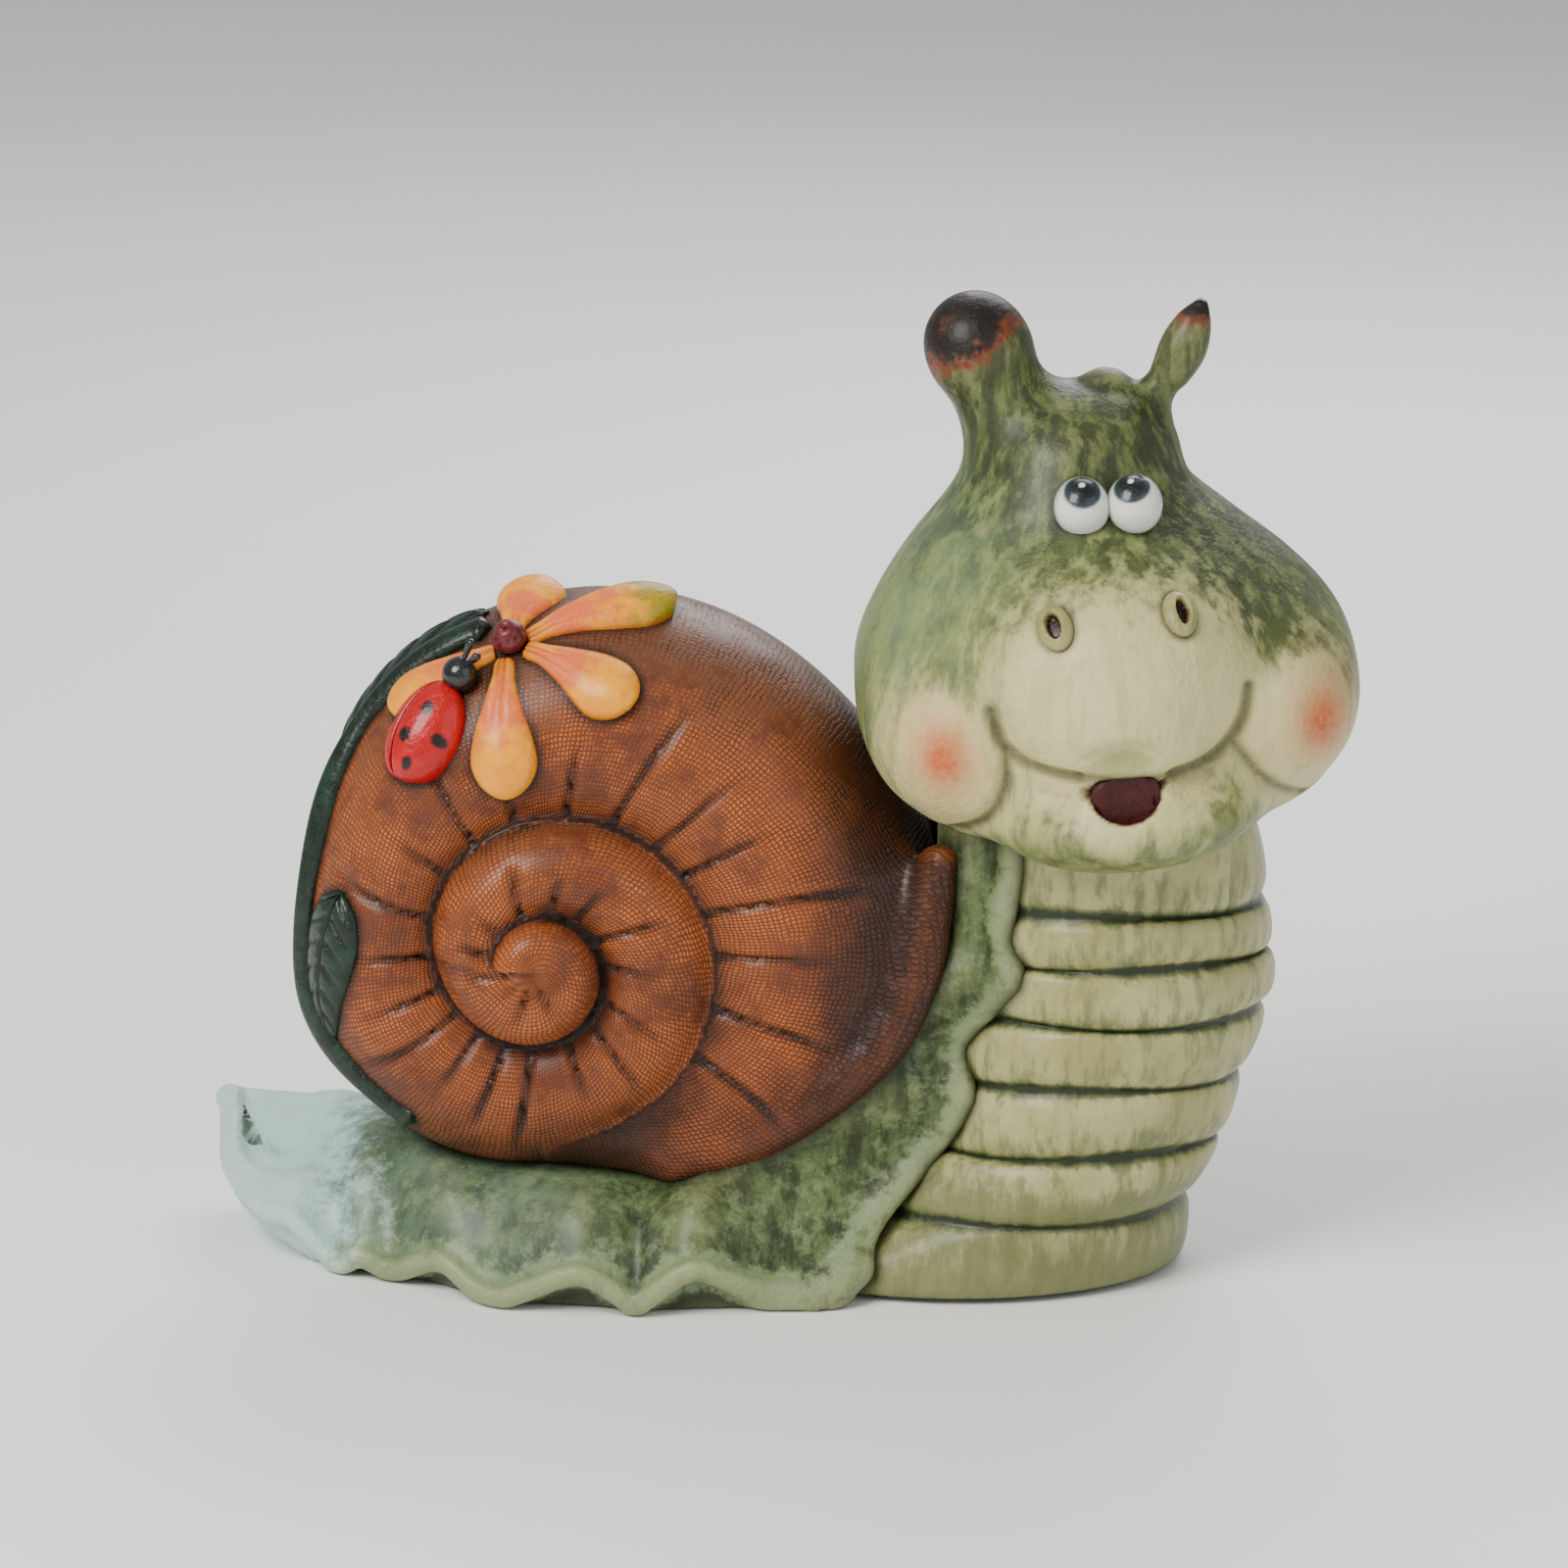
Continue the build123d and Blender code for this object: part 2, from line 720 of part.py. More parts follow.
# Leaves, in the same way
leaf_shares = {
    "leaf_front": ((731, -0.72), (692, -0.12), 0.92),
    "leaf_top": ((797, 0.10), (756, 0.30), 1.12),
}
leaves = []
for name, (start, end, width_share) in leaf_shares.items():
    drop = pressed(start, end, leaf_half_width * width_share, leaf_half_thick)
    leaves.append(press_on(name, drop, [shell_form, stem, *petals, flower_bead]))

# Ladybird: where its body starts and ends, and where its head lies
ladybird_shares = ((789, -0.70), (774, -0.965))
ladybird_head_share = (793, -0.66)
feeler_turns = (30, 75)

body_drop = pressed(*ladybird_shares, ladybird_half_width, ladybird_half_thick)
ladybird_body = press_on("ladybird_body", body_drop, [shell_form, *petals, *leaves])
head_spot, head_out = on_shell(ladybird_head_share[0], ladybird_head_share[1] * shell_half_depth)
head_spot = head_spot + head_out * ladybird_head_radius * ladybird_head_lift_share
head_frame = Plane(origin=head_spot, x_dir=(1, 0, 0), z_dir=head_out)
head_ball = head_frame.location * Sphere(ladybird_head_radius, mode=Mode.PRIVATE)
ladybird_head = press_on("ladybird_head", head_ball, [shell_form, ladybird_body, flower_bead, *petals])

feelers = []
for name, turn in zip(("feeler_right", "feeler_left"), feeler_turns):
    lean = radians(turn)
    along = head_frame.x_dir * cos(lean) + head_frame.y_dir * sin(lean) + head_out
    on_end = (Align.CENTER, Align.CENTER, Align.MIN)
    rod = Cylinder(feeler_radius, feeler_length, align=on_end, mode=Mode.PRIVATE)
    tip_ball = Pos(0, 0, feeler_length) * Sphere(feeler_radius, mode=Mode.PRIVATE)
    rod_frame = Plane(origin=head_spot, z_dir=along)
    with BuildPart() as feeler:
        add(rod_frame.location * rod)
        add(rod_frame.location * tip_ball)
        for neighbour in [ladybird_head, flower_bead, *petals, *feelers]:
            add(neighbour.part, mode=Mode.SUBTRACT, clean=False)
        add(main_solid(feeler.part), mode=Mode.REPLACE, clean=False)
    feeler.part.label = name
    feelers.append(feeler)

os.makedirs("parts", exist_ok=True)
pieces = [foot, ribbed_neck, mantle, shell, shell_lip_right, shell_lip_left, head, stalk_right, stalk_left]
pieces += [eye_right, eye_left, nostril_right, nostril_left, stem, flower_bead, *petals, *leaves]
pieces += [ladybird_body, ladybird_head, *feelers]
for piece in pieces:
    print(piece.part.label, [round(s.volume) for s in piece.part.solids()], piece.part.is_valid)
    export_step(piece.part, f"parts/{piece.part.label}.step")
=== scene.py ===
"""A garden snail of glazed clay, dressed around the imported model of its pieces.

Metres, in the model's own frame: +X runs from the tail to the front, -Y is the side
that the snail's face looks to, and +Z is up.
"""
import logging
import math
from contextlib import contextmanager
from dataclasses import dataclass, field
from enum import Enum
from typing import Any, Callable, Iterator, Sequence

import bpy
import numpy as np
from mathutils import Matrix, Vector
from mathutils.kdtree import KDTree


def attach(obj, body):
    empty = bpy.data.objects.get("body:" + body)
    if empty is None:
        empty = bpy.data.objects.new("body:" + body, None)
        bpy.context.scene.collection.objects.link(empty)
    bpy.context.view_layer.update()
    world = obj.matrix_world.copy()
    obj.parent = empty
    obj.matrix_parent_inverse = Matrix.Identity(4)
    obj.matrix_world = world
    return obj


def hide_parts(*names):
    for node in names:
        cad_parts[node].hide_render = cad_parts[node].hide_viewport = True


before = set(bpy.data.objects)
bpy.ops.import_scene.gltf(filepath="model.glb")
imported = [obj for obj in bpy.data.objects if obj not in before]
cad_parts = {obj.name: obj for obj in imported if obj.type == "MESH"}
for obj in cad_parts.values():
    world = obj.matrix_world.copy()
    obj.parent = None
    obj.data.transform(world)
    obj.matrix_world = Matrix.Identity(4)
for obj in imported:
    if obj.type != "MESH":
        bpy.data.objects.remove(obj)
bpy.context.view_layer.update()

Points = np.ndarray
Form = Callable[[Points], Points]
Table = Sequence[Sequence[float]]
Color = tuple[float, float, float]
Thing = bpy.types.Object
Material = bpy.types.Material
# Finished objects, each with the nodes that it stands for and its slot
Made = list[tuple[Thing, list[str], str]]
log = logging.getLogger("snail")
# How far round a rope of clay points are measured
ROPE_REACH = 0.030
# How far out a second point is taken, to find a direction
LOOK = 1e-3
# How close two vertices are the same one
DOUBLES = 1e-6
# A step that finds which way a form rises, the least rise that counts, and the farthest move at once
RISE_STEP = 2e-4
LEAST_RISE = 0.3
FARTHEST_MOVE = 0.004
SETTLE_ROUNDS = 3
SMOOTH_ROUNDS = (6, 2)
# How much coarser the first of a skin's two faces is
COARSE = 1.6
# How much bare clay shines
CLAY_SHINE = 0.28
# The angle that still shades smoothly
SOFT_ANGLE = math.radians(50)


# Reading tables and blending forms
def read(table: Table, place: Any, column: int) -> Points:
    """Read a column of a table on a smooth line through its rows.

    Args:
        table: Rows that start with their place, in rising order.
        place: Where to read, as a number or many.
        column: The column to read.

    Returns:
        The value at each place.
    """
    rows = np.asarray(table, dtype=float)
    last = len(rows) - 1
    place = np.clip(place, rows[0, 0], rows[last, 0])
    row = np.clip(np.searchsorted(rows[:, 0], place, side="right") - 1, 0, last - 1)
    before = np.maximum(row - 1, 0)
    after = np.minimum(row + 2, last)
    span = rows[row + 1, 0] - rows[row, 0]
    step = (place - rows[row, 0]) / span
    rise_in = (rows[row + 1, column] - rows[before, column]) / (rows[row + 1, 0] - rows[before, 0]) * span
    rise_out = (rows[after, column] - rows[row, column]) / (rows[after, 0] - rows[row, 0]) * span
    square = step * step
    cube = square * step
    return (
        (2 * cube - 3 * square + 1) * rows[row, column]
        + (cube - 2 * square + step) * rise_in
        + (3 * square - 2 * cube) * rows[row + 1, column]
        + (cube - square) * rise_out
    )


def smooth_line(rows: Table, steps: int) -> Points:
    """Spread points evenly in number along a smooth line through given rows.

    Args:
        rows: The rows that the line passes, each with the same columns.
        steps: How many points to give for each row.

    Returns:
        The points, one a row.
    """
    table = [(place, *row) for place, row in enumerate(rows)]
    places = np.linspace(0, len(rows) - 1, (len(rows) - 1) * steps + 1)
    return np.stack([read(table, places, column + 1) for column in range(len(rows[0]))], axis=1)


def length_of(vectors: Points) -> Points:
    """Give the length of each vector."""
    return np.sqrt((vectors * vectors).sum(axis=-1))


def unit(vector: Points) -> Points:
    """Give one vector a length of 1."""
    return vector / math.hypot(*vector)


def units(vectors: Points) -> Points:
    """Give each vector a length of 1."""
    return vectors / length_of(vectors)[:, None]


def soft_min(first: Points, second: Points, reach: float | Points) -> Points:
    """Join two forms, with a fillet as wide as reach."""
    near = np.maximum(reach - np.abs(first - second), 0) / reach
    return np.minimum(first, second) - near * near * reach / 4


def soft_max(first: Points, second: Points, reach: float) -> Points:
    """Keep what two forms share, with an edge as round as reach."""
    return -soft_min(-first, -second, reach)


def ramp(value: Points, low: float, high: float) -> Points:
    """Rise smoothly from 0 at low to 1 at high."""
    step = np.clip((value - low) / (high - low), 0, 1)
    return step * step * (3 - 2 * step)


def bell(distance: Points, width: float) -> Points:
    """Fall smoothly from 1 at no distance."""
    return np.exp(-((distance / width) ** 2))


def blob(points: Points, centre: Sequence[float], radii: Sequence[float]) -> Points:
    """Measure how far points are outside an egg of clay."""
    unit = (points - np.array(centre)) / np.array(radii)
    level = length_of(unit)
    return level * (level - 1) / np.maximum(length_of(unit / np.array(radii)), 1e-6)


def rope(points: Points, line: Points, radii: Points) -> Points:
    """Measure how far points are outside a rope of clay along a line."""
    low, high = line.min(axis=0) - ROPE_REACH, line.max(axis=0) + ROPE_REACH
    near = ((points > low) & (points < high)).all(axis=1)
    close = points[near]
    gap = np.full(len(close), 1.0)
    for start, end, first, last in zip(line, line[1:], radii, radii[1:]):
        ahead = end - start
        step = np.clip((close - start) @ ahead / (ahead @ ahead), 0, 1)
        away = length_of(close - start - step[:, None] * ahead)
        gap = np.minimum(gap, away - first - (last - first) * step)
    level = np.full(len(points), 1.0)
    level[near] = gap
    return level


# Modelling by hand
def take(piece: Thing) -> Thing:
    """Select one piece alone and make it the active one."""
    bpy.ops.object.select_all(action="DESELECT")
    piece.select_set(True)
    bpy.context.view_layer.objects.active = piece
    return piece


@contextmanager
def all_in_hand(piece: Thing) -> Iterator[None]:
    """Hold a piece in edit mode with all of it selected."""
    take(piece)
    bpy.ops.object.mode_set(mode="EDIT")
    bpy.ops.mesh.select_all(action="SELECT")
    yield
    bpy.ops.object.mode_set(mode="OBJECT")


def points_of(piece: Thing, what: str = "co") -> Points:
    """Give the places of a piece's vertices, or the directions that they face."""
    flat = np.empty(len(piece.data.vertices) * 3)
    piece.data.vertices.foreach_get(what, flat)
    return flat.reshape(-1, 3)


def place_points(piece: Thing, points: Points) -> None:
    """Move a piece's vertices to new places."""
    piece.data.vertices.foreach_set("co", points.astype(np.float32).ravel())
    piece.data.update()


def mark(piece: Thing, name: str, values: Points) -> None:
    """Store a value, or three, at each vertex of a piece, for its finish to read."""
    flat = values.ndim == 1
    attribute = piece.data.attributes.new(name, "FLOAT" if flat else "FLOAT_VECTOR", "POINT")
    attribute.data.foreach_set("value" if flat else "vector", values.astype(np.float32).ravel())


def add_sphere(name: str, segments: int, rings: int) -> Thing:
    """Add a ball of radius 1 at the origin."""
    bpy.ops.object.select_all(action="DESELECT")
    bpy.ops.mesh.primitive_uv_sphere_add(segments=segments, ring_count=rings, radius=1)
    bpy.context.object.name = name
    return bpy.context.object


def mould(name: str, segments: int, rings: int, place: Callable[[Points, Points], Points]) -> Thing:
    """Pull a ball out into a long closed piece.

    Args:
        name: The piece's name.
        segments: Vertices round the piece.
        rings: Rings along the piece.
        place: Gives the points for shares along the piece and angles round it.

    Returns:
        The moulded piece.
    """
    piece = add_sphere(name, segments, rings)
    ball = points_of(piece)
    along = np.arccos(np.clip(ball[:, 2], -1, 1)) / np.pi
    place_points(piece, place(along, np.arctan2(ball[:, 1], ball[:, 0])))
    face_outwards(piece)
    return piece


def face_outwards(piece: Thing, merge: bool = True) -> None:
    """Merge a closed piece's doubles, if wanted, and turn its faces outwards."""
    with all_in_hand(piece):
        if merge:
            bpy.ops.mesh.remove_doubles(threshold=DOUBLES)
        bpy.ops.mesh.normals_make_consistent(inside=False)


def apply(piece: Thing, kind: str, **settings: Any) -> None:
    """Give a piece a modifier and apply it."""
    take(piece)
    modifier = piece.modifiers.new(kind.lower(), kind)
    for setting, value in settings.items():
        setattr(modifier, setting, value)
    bpy.ops.object.modifier_apply(modifier=modifier.name)


def knead(name: str, lumps: Sequence[Thing], grain: float) -> Thing:
    """Join lumps into one closed skin of even faces.

    Args:
        name: The joined piece's name.
        lumps: The lumps, which are used up.
        grain: The size of a face.

    Returns:
        The joined piece.
    """
    bpy.ops.object.select_all(action="DESELECT")
    for lump in lumps:
        lump.select_set(True)
    bpy.context.view_layer.objects.active = lumps[0]
    bpy.ops.object.join()
    piece = bpy.context.object
    piece.name = name
    apply(piece, "REMESH", mode="VOXEL", voxel_size=grain)
    return piece


def settle(piece: Thing, form: Form) -> None:
    """Press a piece's skin onto a form, evening its faces out on the way."""
    for smoothings in SMOOTH_ROUNDS:
        apply(piece, "SMOOTH", factor=0.5, iterations=smoothings)
        points = points_of(piece)
        for _ in range(SETTLE_ROUNDS):
            level = form(points)
            rise = np.stack([form(points + RISE_STEP * way) for way in np.eye(3)], axis=1) - level[:, None]
            rise /= RISE_STEP
            move = -(level / np.maximum((rise * rise).sum(axis=1), LEAST_RISE))[:, None] * rise
            size = np.maximum(length_of(move), 1e-9)
            points += move * np.minimum(1, FARTHEST_MOVE / size)[:, None]
        place_points(piece, points)


def skin_over(name: str, lumps: Sequence[Thing], form: Form, grain: float) -> Thing:
    """Join lumps and press the skin onto a form, coarsely first and then finely."""
    piece = knead(name, lumps, grain * COARSE)
    settle(piece, form)
    apply(piece, "REMESH", mode="VOXEL", voxel_size=grain)
    settle(piece, form)
    return piece


def keep_side(piece: Thing, place: Sequence[float], away: Sequence[float]) -> None:
    """Cut a piece by a plane, drop what lies on the away side and close the cut."""
    with all_in_hand(piece):
        bpy.ops.mesh.bisect(plane_co=tuple(place), plane_no=tuple(away), use_fill=True, clear_outer=True)


def copy_of(piece: Thing, name: str) -> Thing:
    """Copy a piece with a mesh of its own."""
    twin = piece.copy()
    twin.data = piece.data.copy()
    twin.name = name
    bpy.context.scene.collection.objects.link(twin)
    return twin


def mark_relief(piece: Thing, rounds: int, depth: float) -> None:
    """Store how far each vertex lies in a hollow (recess_shade) or on a rise (ridge), for painted shade and
    highlight.

    Args:
        piece: The piece to measure.
        rounds: How often the skin is averaged, which sets how wide a hollow counts.
        depth: The depth that counts as a full hollow.
    """
    points = points_of(piece)
    edges = np.empty(len(piece.data.edges) * 2, dtype=np.int64)
    piece.data.edges.foreach_get("vertices", edges)
    first, second = edges.reshape(-1, 2).T
    count = np.bincount(edges, minlength=len(points)).astype(float)
    even = points.copy()
    for _ in range(rounds):
        total = np.empty_like(even)
        for axis in range(3):
            total[:, axis] = np.bincount(first, even[second, axis], len(points))
            total[:, axis] += np.bincount(second, even[first, axis], len(points))
        even = (even + total / np.maximum(count, 1)[:, None]) / 2
    sunk = ((even - points) * points_of(piece, "normal")).sum(axis=1) / depth
    mark(piece, "recess_shade", np.clip(sunk, 0, 1))
    mark(piece, "ridge", np.clip(-sunk, 0, 1))


def mark_contact_shade(piece: Thing, others: Sequence[Thing], reach: float) -> None:
    """Store how close each vertex comes to the pieces beside it, for painted shade where they meet."""
    beside = np.concatenate([points_of(other) for other in others])
    low, high = points_of(piece).min(axis=0) - 4 * reach, points_of(piece).max(axis=0) + 4 * reach
    beside = beside[((beside > low) & (beside < high)).all(axis=1)]
    tree = KDTree(len(beside))
    for index, point in enumerate(beside):
        tree.insert(point, index)
    tree.balance()
    gaps = np.array([tree.find(point)[2] if len(beside) else 1 for point in points_of(piece)])
    mark(piece, "contact_shade", bell(gaps, reach))


# Forms
@dataclass
class HeadForm:
    """The head and its two stalks, as one smooth form that leans on the face's own directions."""

    centre: tuple = (0.149, -0.012, 0.209)
    half_width: float = 0.089
    half_depth: float = 0.070
    drop: float = 0.050
    rise: float = 0.116
    roll: float = math.radians(5.5)
    turn: float = math.radians(7)
    cheek: tuple = (0.0535, 0.031, 0.003)
    cheek_radii: tuple = (0.0285, 0.031, 0.027)
    muzzle: tuple = (-0.001, 0.052, 0.018)
    muzzle_radii: tuple = (0.043, 0.038, 0.037)
    # The muzzle's fillet below and what is added above, and where it widens
    muzzle_fillets: tuple = (0.005, 0.025)
    muzzle_ease: tuple = (0.000, 0.045)
    jaw: tuple = (0.001, 0.052, -0.026)
    jaw_radii: tuple = (0.044, 0.036, 0.018)
    crown: tuple = (0.009, 0, 0.110)
    crown_radius: float = 0.0094
    ball_radius: float = 0.0179
    stalk_radius: float = 0.0195
    flame_radius: float = 0.016
    crease: float = 0.0028
    crease_end: float = 0.25
    # Fillets where the lumps meet, and how round the head's own edge is
    edge_round: float = 0.024
    cheek_fillet: float = 0.018
    jaw_fillet: float = 0.014
    ball_fillet: float = 0.006
    stalk_fillet: float = 0.010
    flame_fillet: float = 0.008
    crown_fillet: float = 0.0045
    crease_fillet: float = 0.004
    scoop_fillet: float = 0.005
    mouth_fillets: tuple = (0.002, 0.003)
    # The mouth's rim: how far it swells past the mouth, how far back and down it lies, and its fillet
    rim_swell: tuple = (0.0028, -0.012, 0.0032)
    rim_sink: float = 0.001
    rim_fillet: float = 0.006
    # How far forward the face's lines start, and the farthest that the face can lie
    line_front: float = 0.02
    face_limit: float = 0.13
    search_rounds: int = 30
    slope_share: float = 0.02
    # Height up the head, then half width, half depth and how far it leans aside
    body_shares: tuple = (
        (0.000, 0.300, 0.50, 0.045),
        (0.060, 0.640, 0.72, 0.036),
        (0.110, 0.780, 0.84, 0.030),
        (0.151, 0.845, 0.90, 0.022),
        (0.229, 0.940, 0.97, 0.010),
        (0.316, 0.984, 1.00, 0.002),
        (0.404, 0.980, 1.00, -0.004),
        (0.494, 0.933, 0.95, -0.025),
        (0.590, 0.815, 0.86, -0.050),
        (0.687, 0.650, 0.75, -0.078),
        (0.783, 0.475, 0.62, -0.082),
        (0.860, 0.395, 0.52, -0.062),
        (0.934, 0.350, 0.44, -0.050),
        (1.000, 0.320, 0.34, -0.035),
    )
    # Aside and up from the head's centre, then the stalk's radius
    ball_shares: tuple = (
        (-0.210, 0.716, 0.96),
        (-0.262, 0.866, 0.88),
        (-0.312, 0.991, 0.85),
        (-0.356, 1.09, 0.88),
    )
    ball_place_share: tuple = (-0.388, 1.150)
    flame_shares: tuple = (
        (0.168, 0.700, 1.000),
        (0.212, 0.770, 0.800),
        (0.244, 0.831, 0.560),
        (0.278, 0.907, 0.410),
        (0.328, 0.965, 0.375),
        (0.372, 1.008, 0.460),
        (0.418, 1.066, 0.520),
        (0.458, 1.125, 0.420),
        (0.498, 1.184, 0.180),
        (0.512, 1.220, 0.030),
    )
    # Lines on the face, aside and up from its centre
    smile: tuple = (
        (-0.0445, 0.019),
        (-0.0435, 0.012),
        (-0.041, 0.006),
        (-0.035, 0.000),
        (-0.028, -0.0025),
        (-0.018, -0.0045),
        (-0.001, -0.006),
        (0.016, -0.0075),
        (0.028, -0.006),
        (0.036, -0.001),
        (0.042, 0.007),
        (0.045, 0.018),
    )
    fold_right: tuple = (
        (-0.040, 0.003),
        (-0.0415, -0.009),
        (-0.047, -0.020),
        (-0.055, -0.028),
        (-0.066, -0.033),
    )
    fold_left: tuple = ((0.038, -0.002), (0.046, -0.014), (0.0545, -0.024), (0.063, -0.031))
    arch: tuple = (
        (-0.0195, -0.003),
        (-0.013, 0.003),
        (-0.006, 0.007),
        (0.001, 0.007),
        (0.009, 0.003),
        (0.0155, -0.003),
    )
    # The lines that are pressed in, and how deep as a share of the crease
    crease_shares: tuple = (("smile", 1.0), ("fold_right", 0.8), ("fold_left", 0.8))
    mouth: tuple = (-0.0015, -0.0115)
    mouth_radii: tuple = (0.0117, 0.016, 0.0100)
    mouth_top: float = -0.0062
    mouth_slant: float = -0.04
    scoop: tuple = (-0.0015, 0.0005)
    scoop_radii: tuple = (0.0150, 0.0075, 0.0075)
    scoop_depth: float = 0.0036
    # Where the nostrils open
    nostrils: tuple = ((-0.020, 0.0482), (0.0225, 0.0478))

    def __post_init__(self) -> None:
        """Work out the face's own directions."""
        across = (math.cos(self.turn), math.sin(self.turn))
        self.axes = np.array(
            [
                (across[0] * math.cos(self.roll), across[1] * math.cos(self.roll), math.sin(self.roll)),
                (across[1], -across[0], 0),
                (-across[0] * math.sin(self.roll), -across[1] * math.sin(self.roll), math.cos(self.roll)),
            ]
        )
        self.ball_line, self.ball_radii = self.stalk(self.ball_shares, self.stalk_radius)
        self.flame_line, self.flame_radii = self.stalk(self.flame_shares, self.flame_radius)
        ball_aside, ball_up = self.ball_place_share
        self.ball = (self.half_width * ball_aside, 0, self.rise * ball_up)
        self.lines = {}
        for name in ("smile", "fold_right", "fold_left", "arch"):
            flat = smooth_line(getattr(self, name), 3)
            self.lines[name] = np.column_stack([flat[:, 0], self.front(flat[:, 0], flat[:, 1]), flat[:, 1]])
        self.mouth_place = self.on_face(self.mouth)
        self.scoop_place = self.on_face(self.scoop)

    def on_face(self, spot: Sequence[float]) -> tuple[float, float, float]:
        """Give the place on the face that lies so far aside and up."""
        aside, up = spot
        return aside, float(self.front(np.array([aside]), np.array([up]))[0]), up

    def stalk(self, shares: Table, radius: float) -> tuple[Points, Points]:
        """Give a stalk's line and its radii."""
        rows = smooth_line(shares, 4)
        line = np.column_stack([self.half_width * rows[:, 0], 0 * rows[:, 0], self.rise * rows[:, 1]])
        return line, radius * rows[:, 2]

    def local(self, points: Points) -> Points:
        """Measure places along the face's own directions."""
        return (points - np.array(self.centre)) @ self.axes.T

    def world(self, places: Points) -> Points:
        """Turn places on the face into places in the frame."""
        return np.array(self.centre) + np.asarray(places, dtype=float) @ self.axes

    def skull(self, places: Points) -> Points:
        """Measure how far places are outside the plain head."""
        aside, ahead, up = (places + 1e-7).T
        share = (up + self.drop) / (self.drop + self.rise)
        wide = self.half_width * read(self.body_shares, share, 1)
        deep = self.half_depth * read(self.body_shares, share, 2)
        aside = aside - self.half_width * read(self.body_shares, share, 3)
        across = np.sqrt((aside / wide) ** 2 + (ahead / deep) ** 2)
        side = (across - 1) * across / np.sqrt((aside / wide**2) ** 2 + (ahead / deep**2) ** 2)
        step = self.slope_share
        lean = read(self.body_shares, share + step, 1) - read(self.body_shares, share - step, 1)
        lean = lean / (2 * step) * self.half_width / (self.drop + self.rise)
        side = side / np.sqrt(1 + lean * lean)
        return soft_max(side, np.maximum(up - self.rise, -self.drop - up), self.edge_round)

    def face(self, places: Points) -> Points:
        """Measure how far places are outside the head with its cheeks, muzzle and jaw."""
        level = self.skull(places)
        aside, ahead, up = self.cheek
        for hand in (-1, 1):
            cheek = blob(places, (hand * aside, ahead, up), self.cheek_radii)
            level = soft_min(level, cheek, self.cheek_fillet)
        level = soft_min(level, blob(places, self.jaw, self.jaw_radii), self.jaw_fillet)
        fillet = self.muzzle_fillets[0] + self.muzzle_fillets[1] * ramp(places[:, 2], *self.muzzle_ease)
        return soft_min(level, blob(places, self.muzzle, self.muzzle_radii), fillet)

    def front(self, aside: Points, up: Points) -> Points:
        """Find how far forward the face lies."""
        near, far = np.zeros(len(aside)), np.full(len(aside), self.face_limit)
        for _ in range(self.search_rounds):
            middle = (near + far) / 2
            inside = self.face(np.column_stack([aside, middle, up])) < 0
            near, far = np.where(inside, middle, near), np.where(inside, far, middle)
        return near

    def form(self, points: Points) -> Points:
        """Measure how far points in the frame are outside the finished head and stalks."""
        places = self.local(points)
        level = self.face(places)
        ball = blob(places, self.ball, (self.ball_radius,) * 3)
        ball = soft_min(rope(places, self.ball_line, self.ball_radii), ball, self.ball_fillet)
        level = soft_min(level, ball, self.stalk_fillet)
        level = soft_min(level, rope(places, self.flame_line, self.flame_radii), self.flame_fillet)
        level = soft_min(level, blob(places, self.crown, (self.crown_radius,) * 3), self.crown_fillet)
        near = places[:, 1] > self.line_front
        close, cut = places[near], level[near]
        for name, share in self.crease_shares:
            line = self.lines[name]
            ends = np.sin(np.linspace(self.crease_end, math.pi - self.crease_end, len(line))) ** 0.5
            cut = soft_max(cut, -rope(close, line, self.crease * share * ends), self.crease_fillet)
        aside, ahead, up = self.scoop_place
        hollow = (aside, ahead + self.scoop_radii[1] - self.scoop_depth, up)
        cut = soft_max(cut, -blob(close, hollow, self.scoop_radii), self.scoop_fillet)
        aside, ahead, up = self.mouth_place
        middle = (aside, ahead - self.rim_sink, up - self.rim_sink)
        rim = blob(close, middle, np.array(self.mouth_radii) + self.rim_swell)
        cut = soft_min(cut, rim, self.rim_fillet)
        level[near] = soft_max(cut, -self.mouth_form(close), self.mouth_fillets[0])
        return level

    def mouth_form(self, places: Points) -> Points:
        """Measure how far places are outside the mouth's hollow."""
        roof = places[:, 2] - self.mouth_top - self.mouth_slant * places[:, 0]
        return soft_max(blob(places, self.mouth_place, self.mouth_radii), roof, self.mouth_fillets[1])


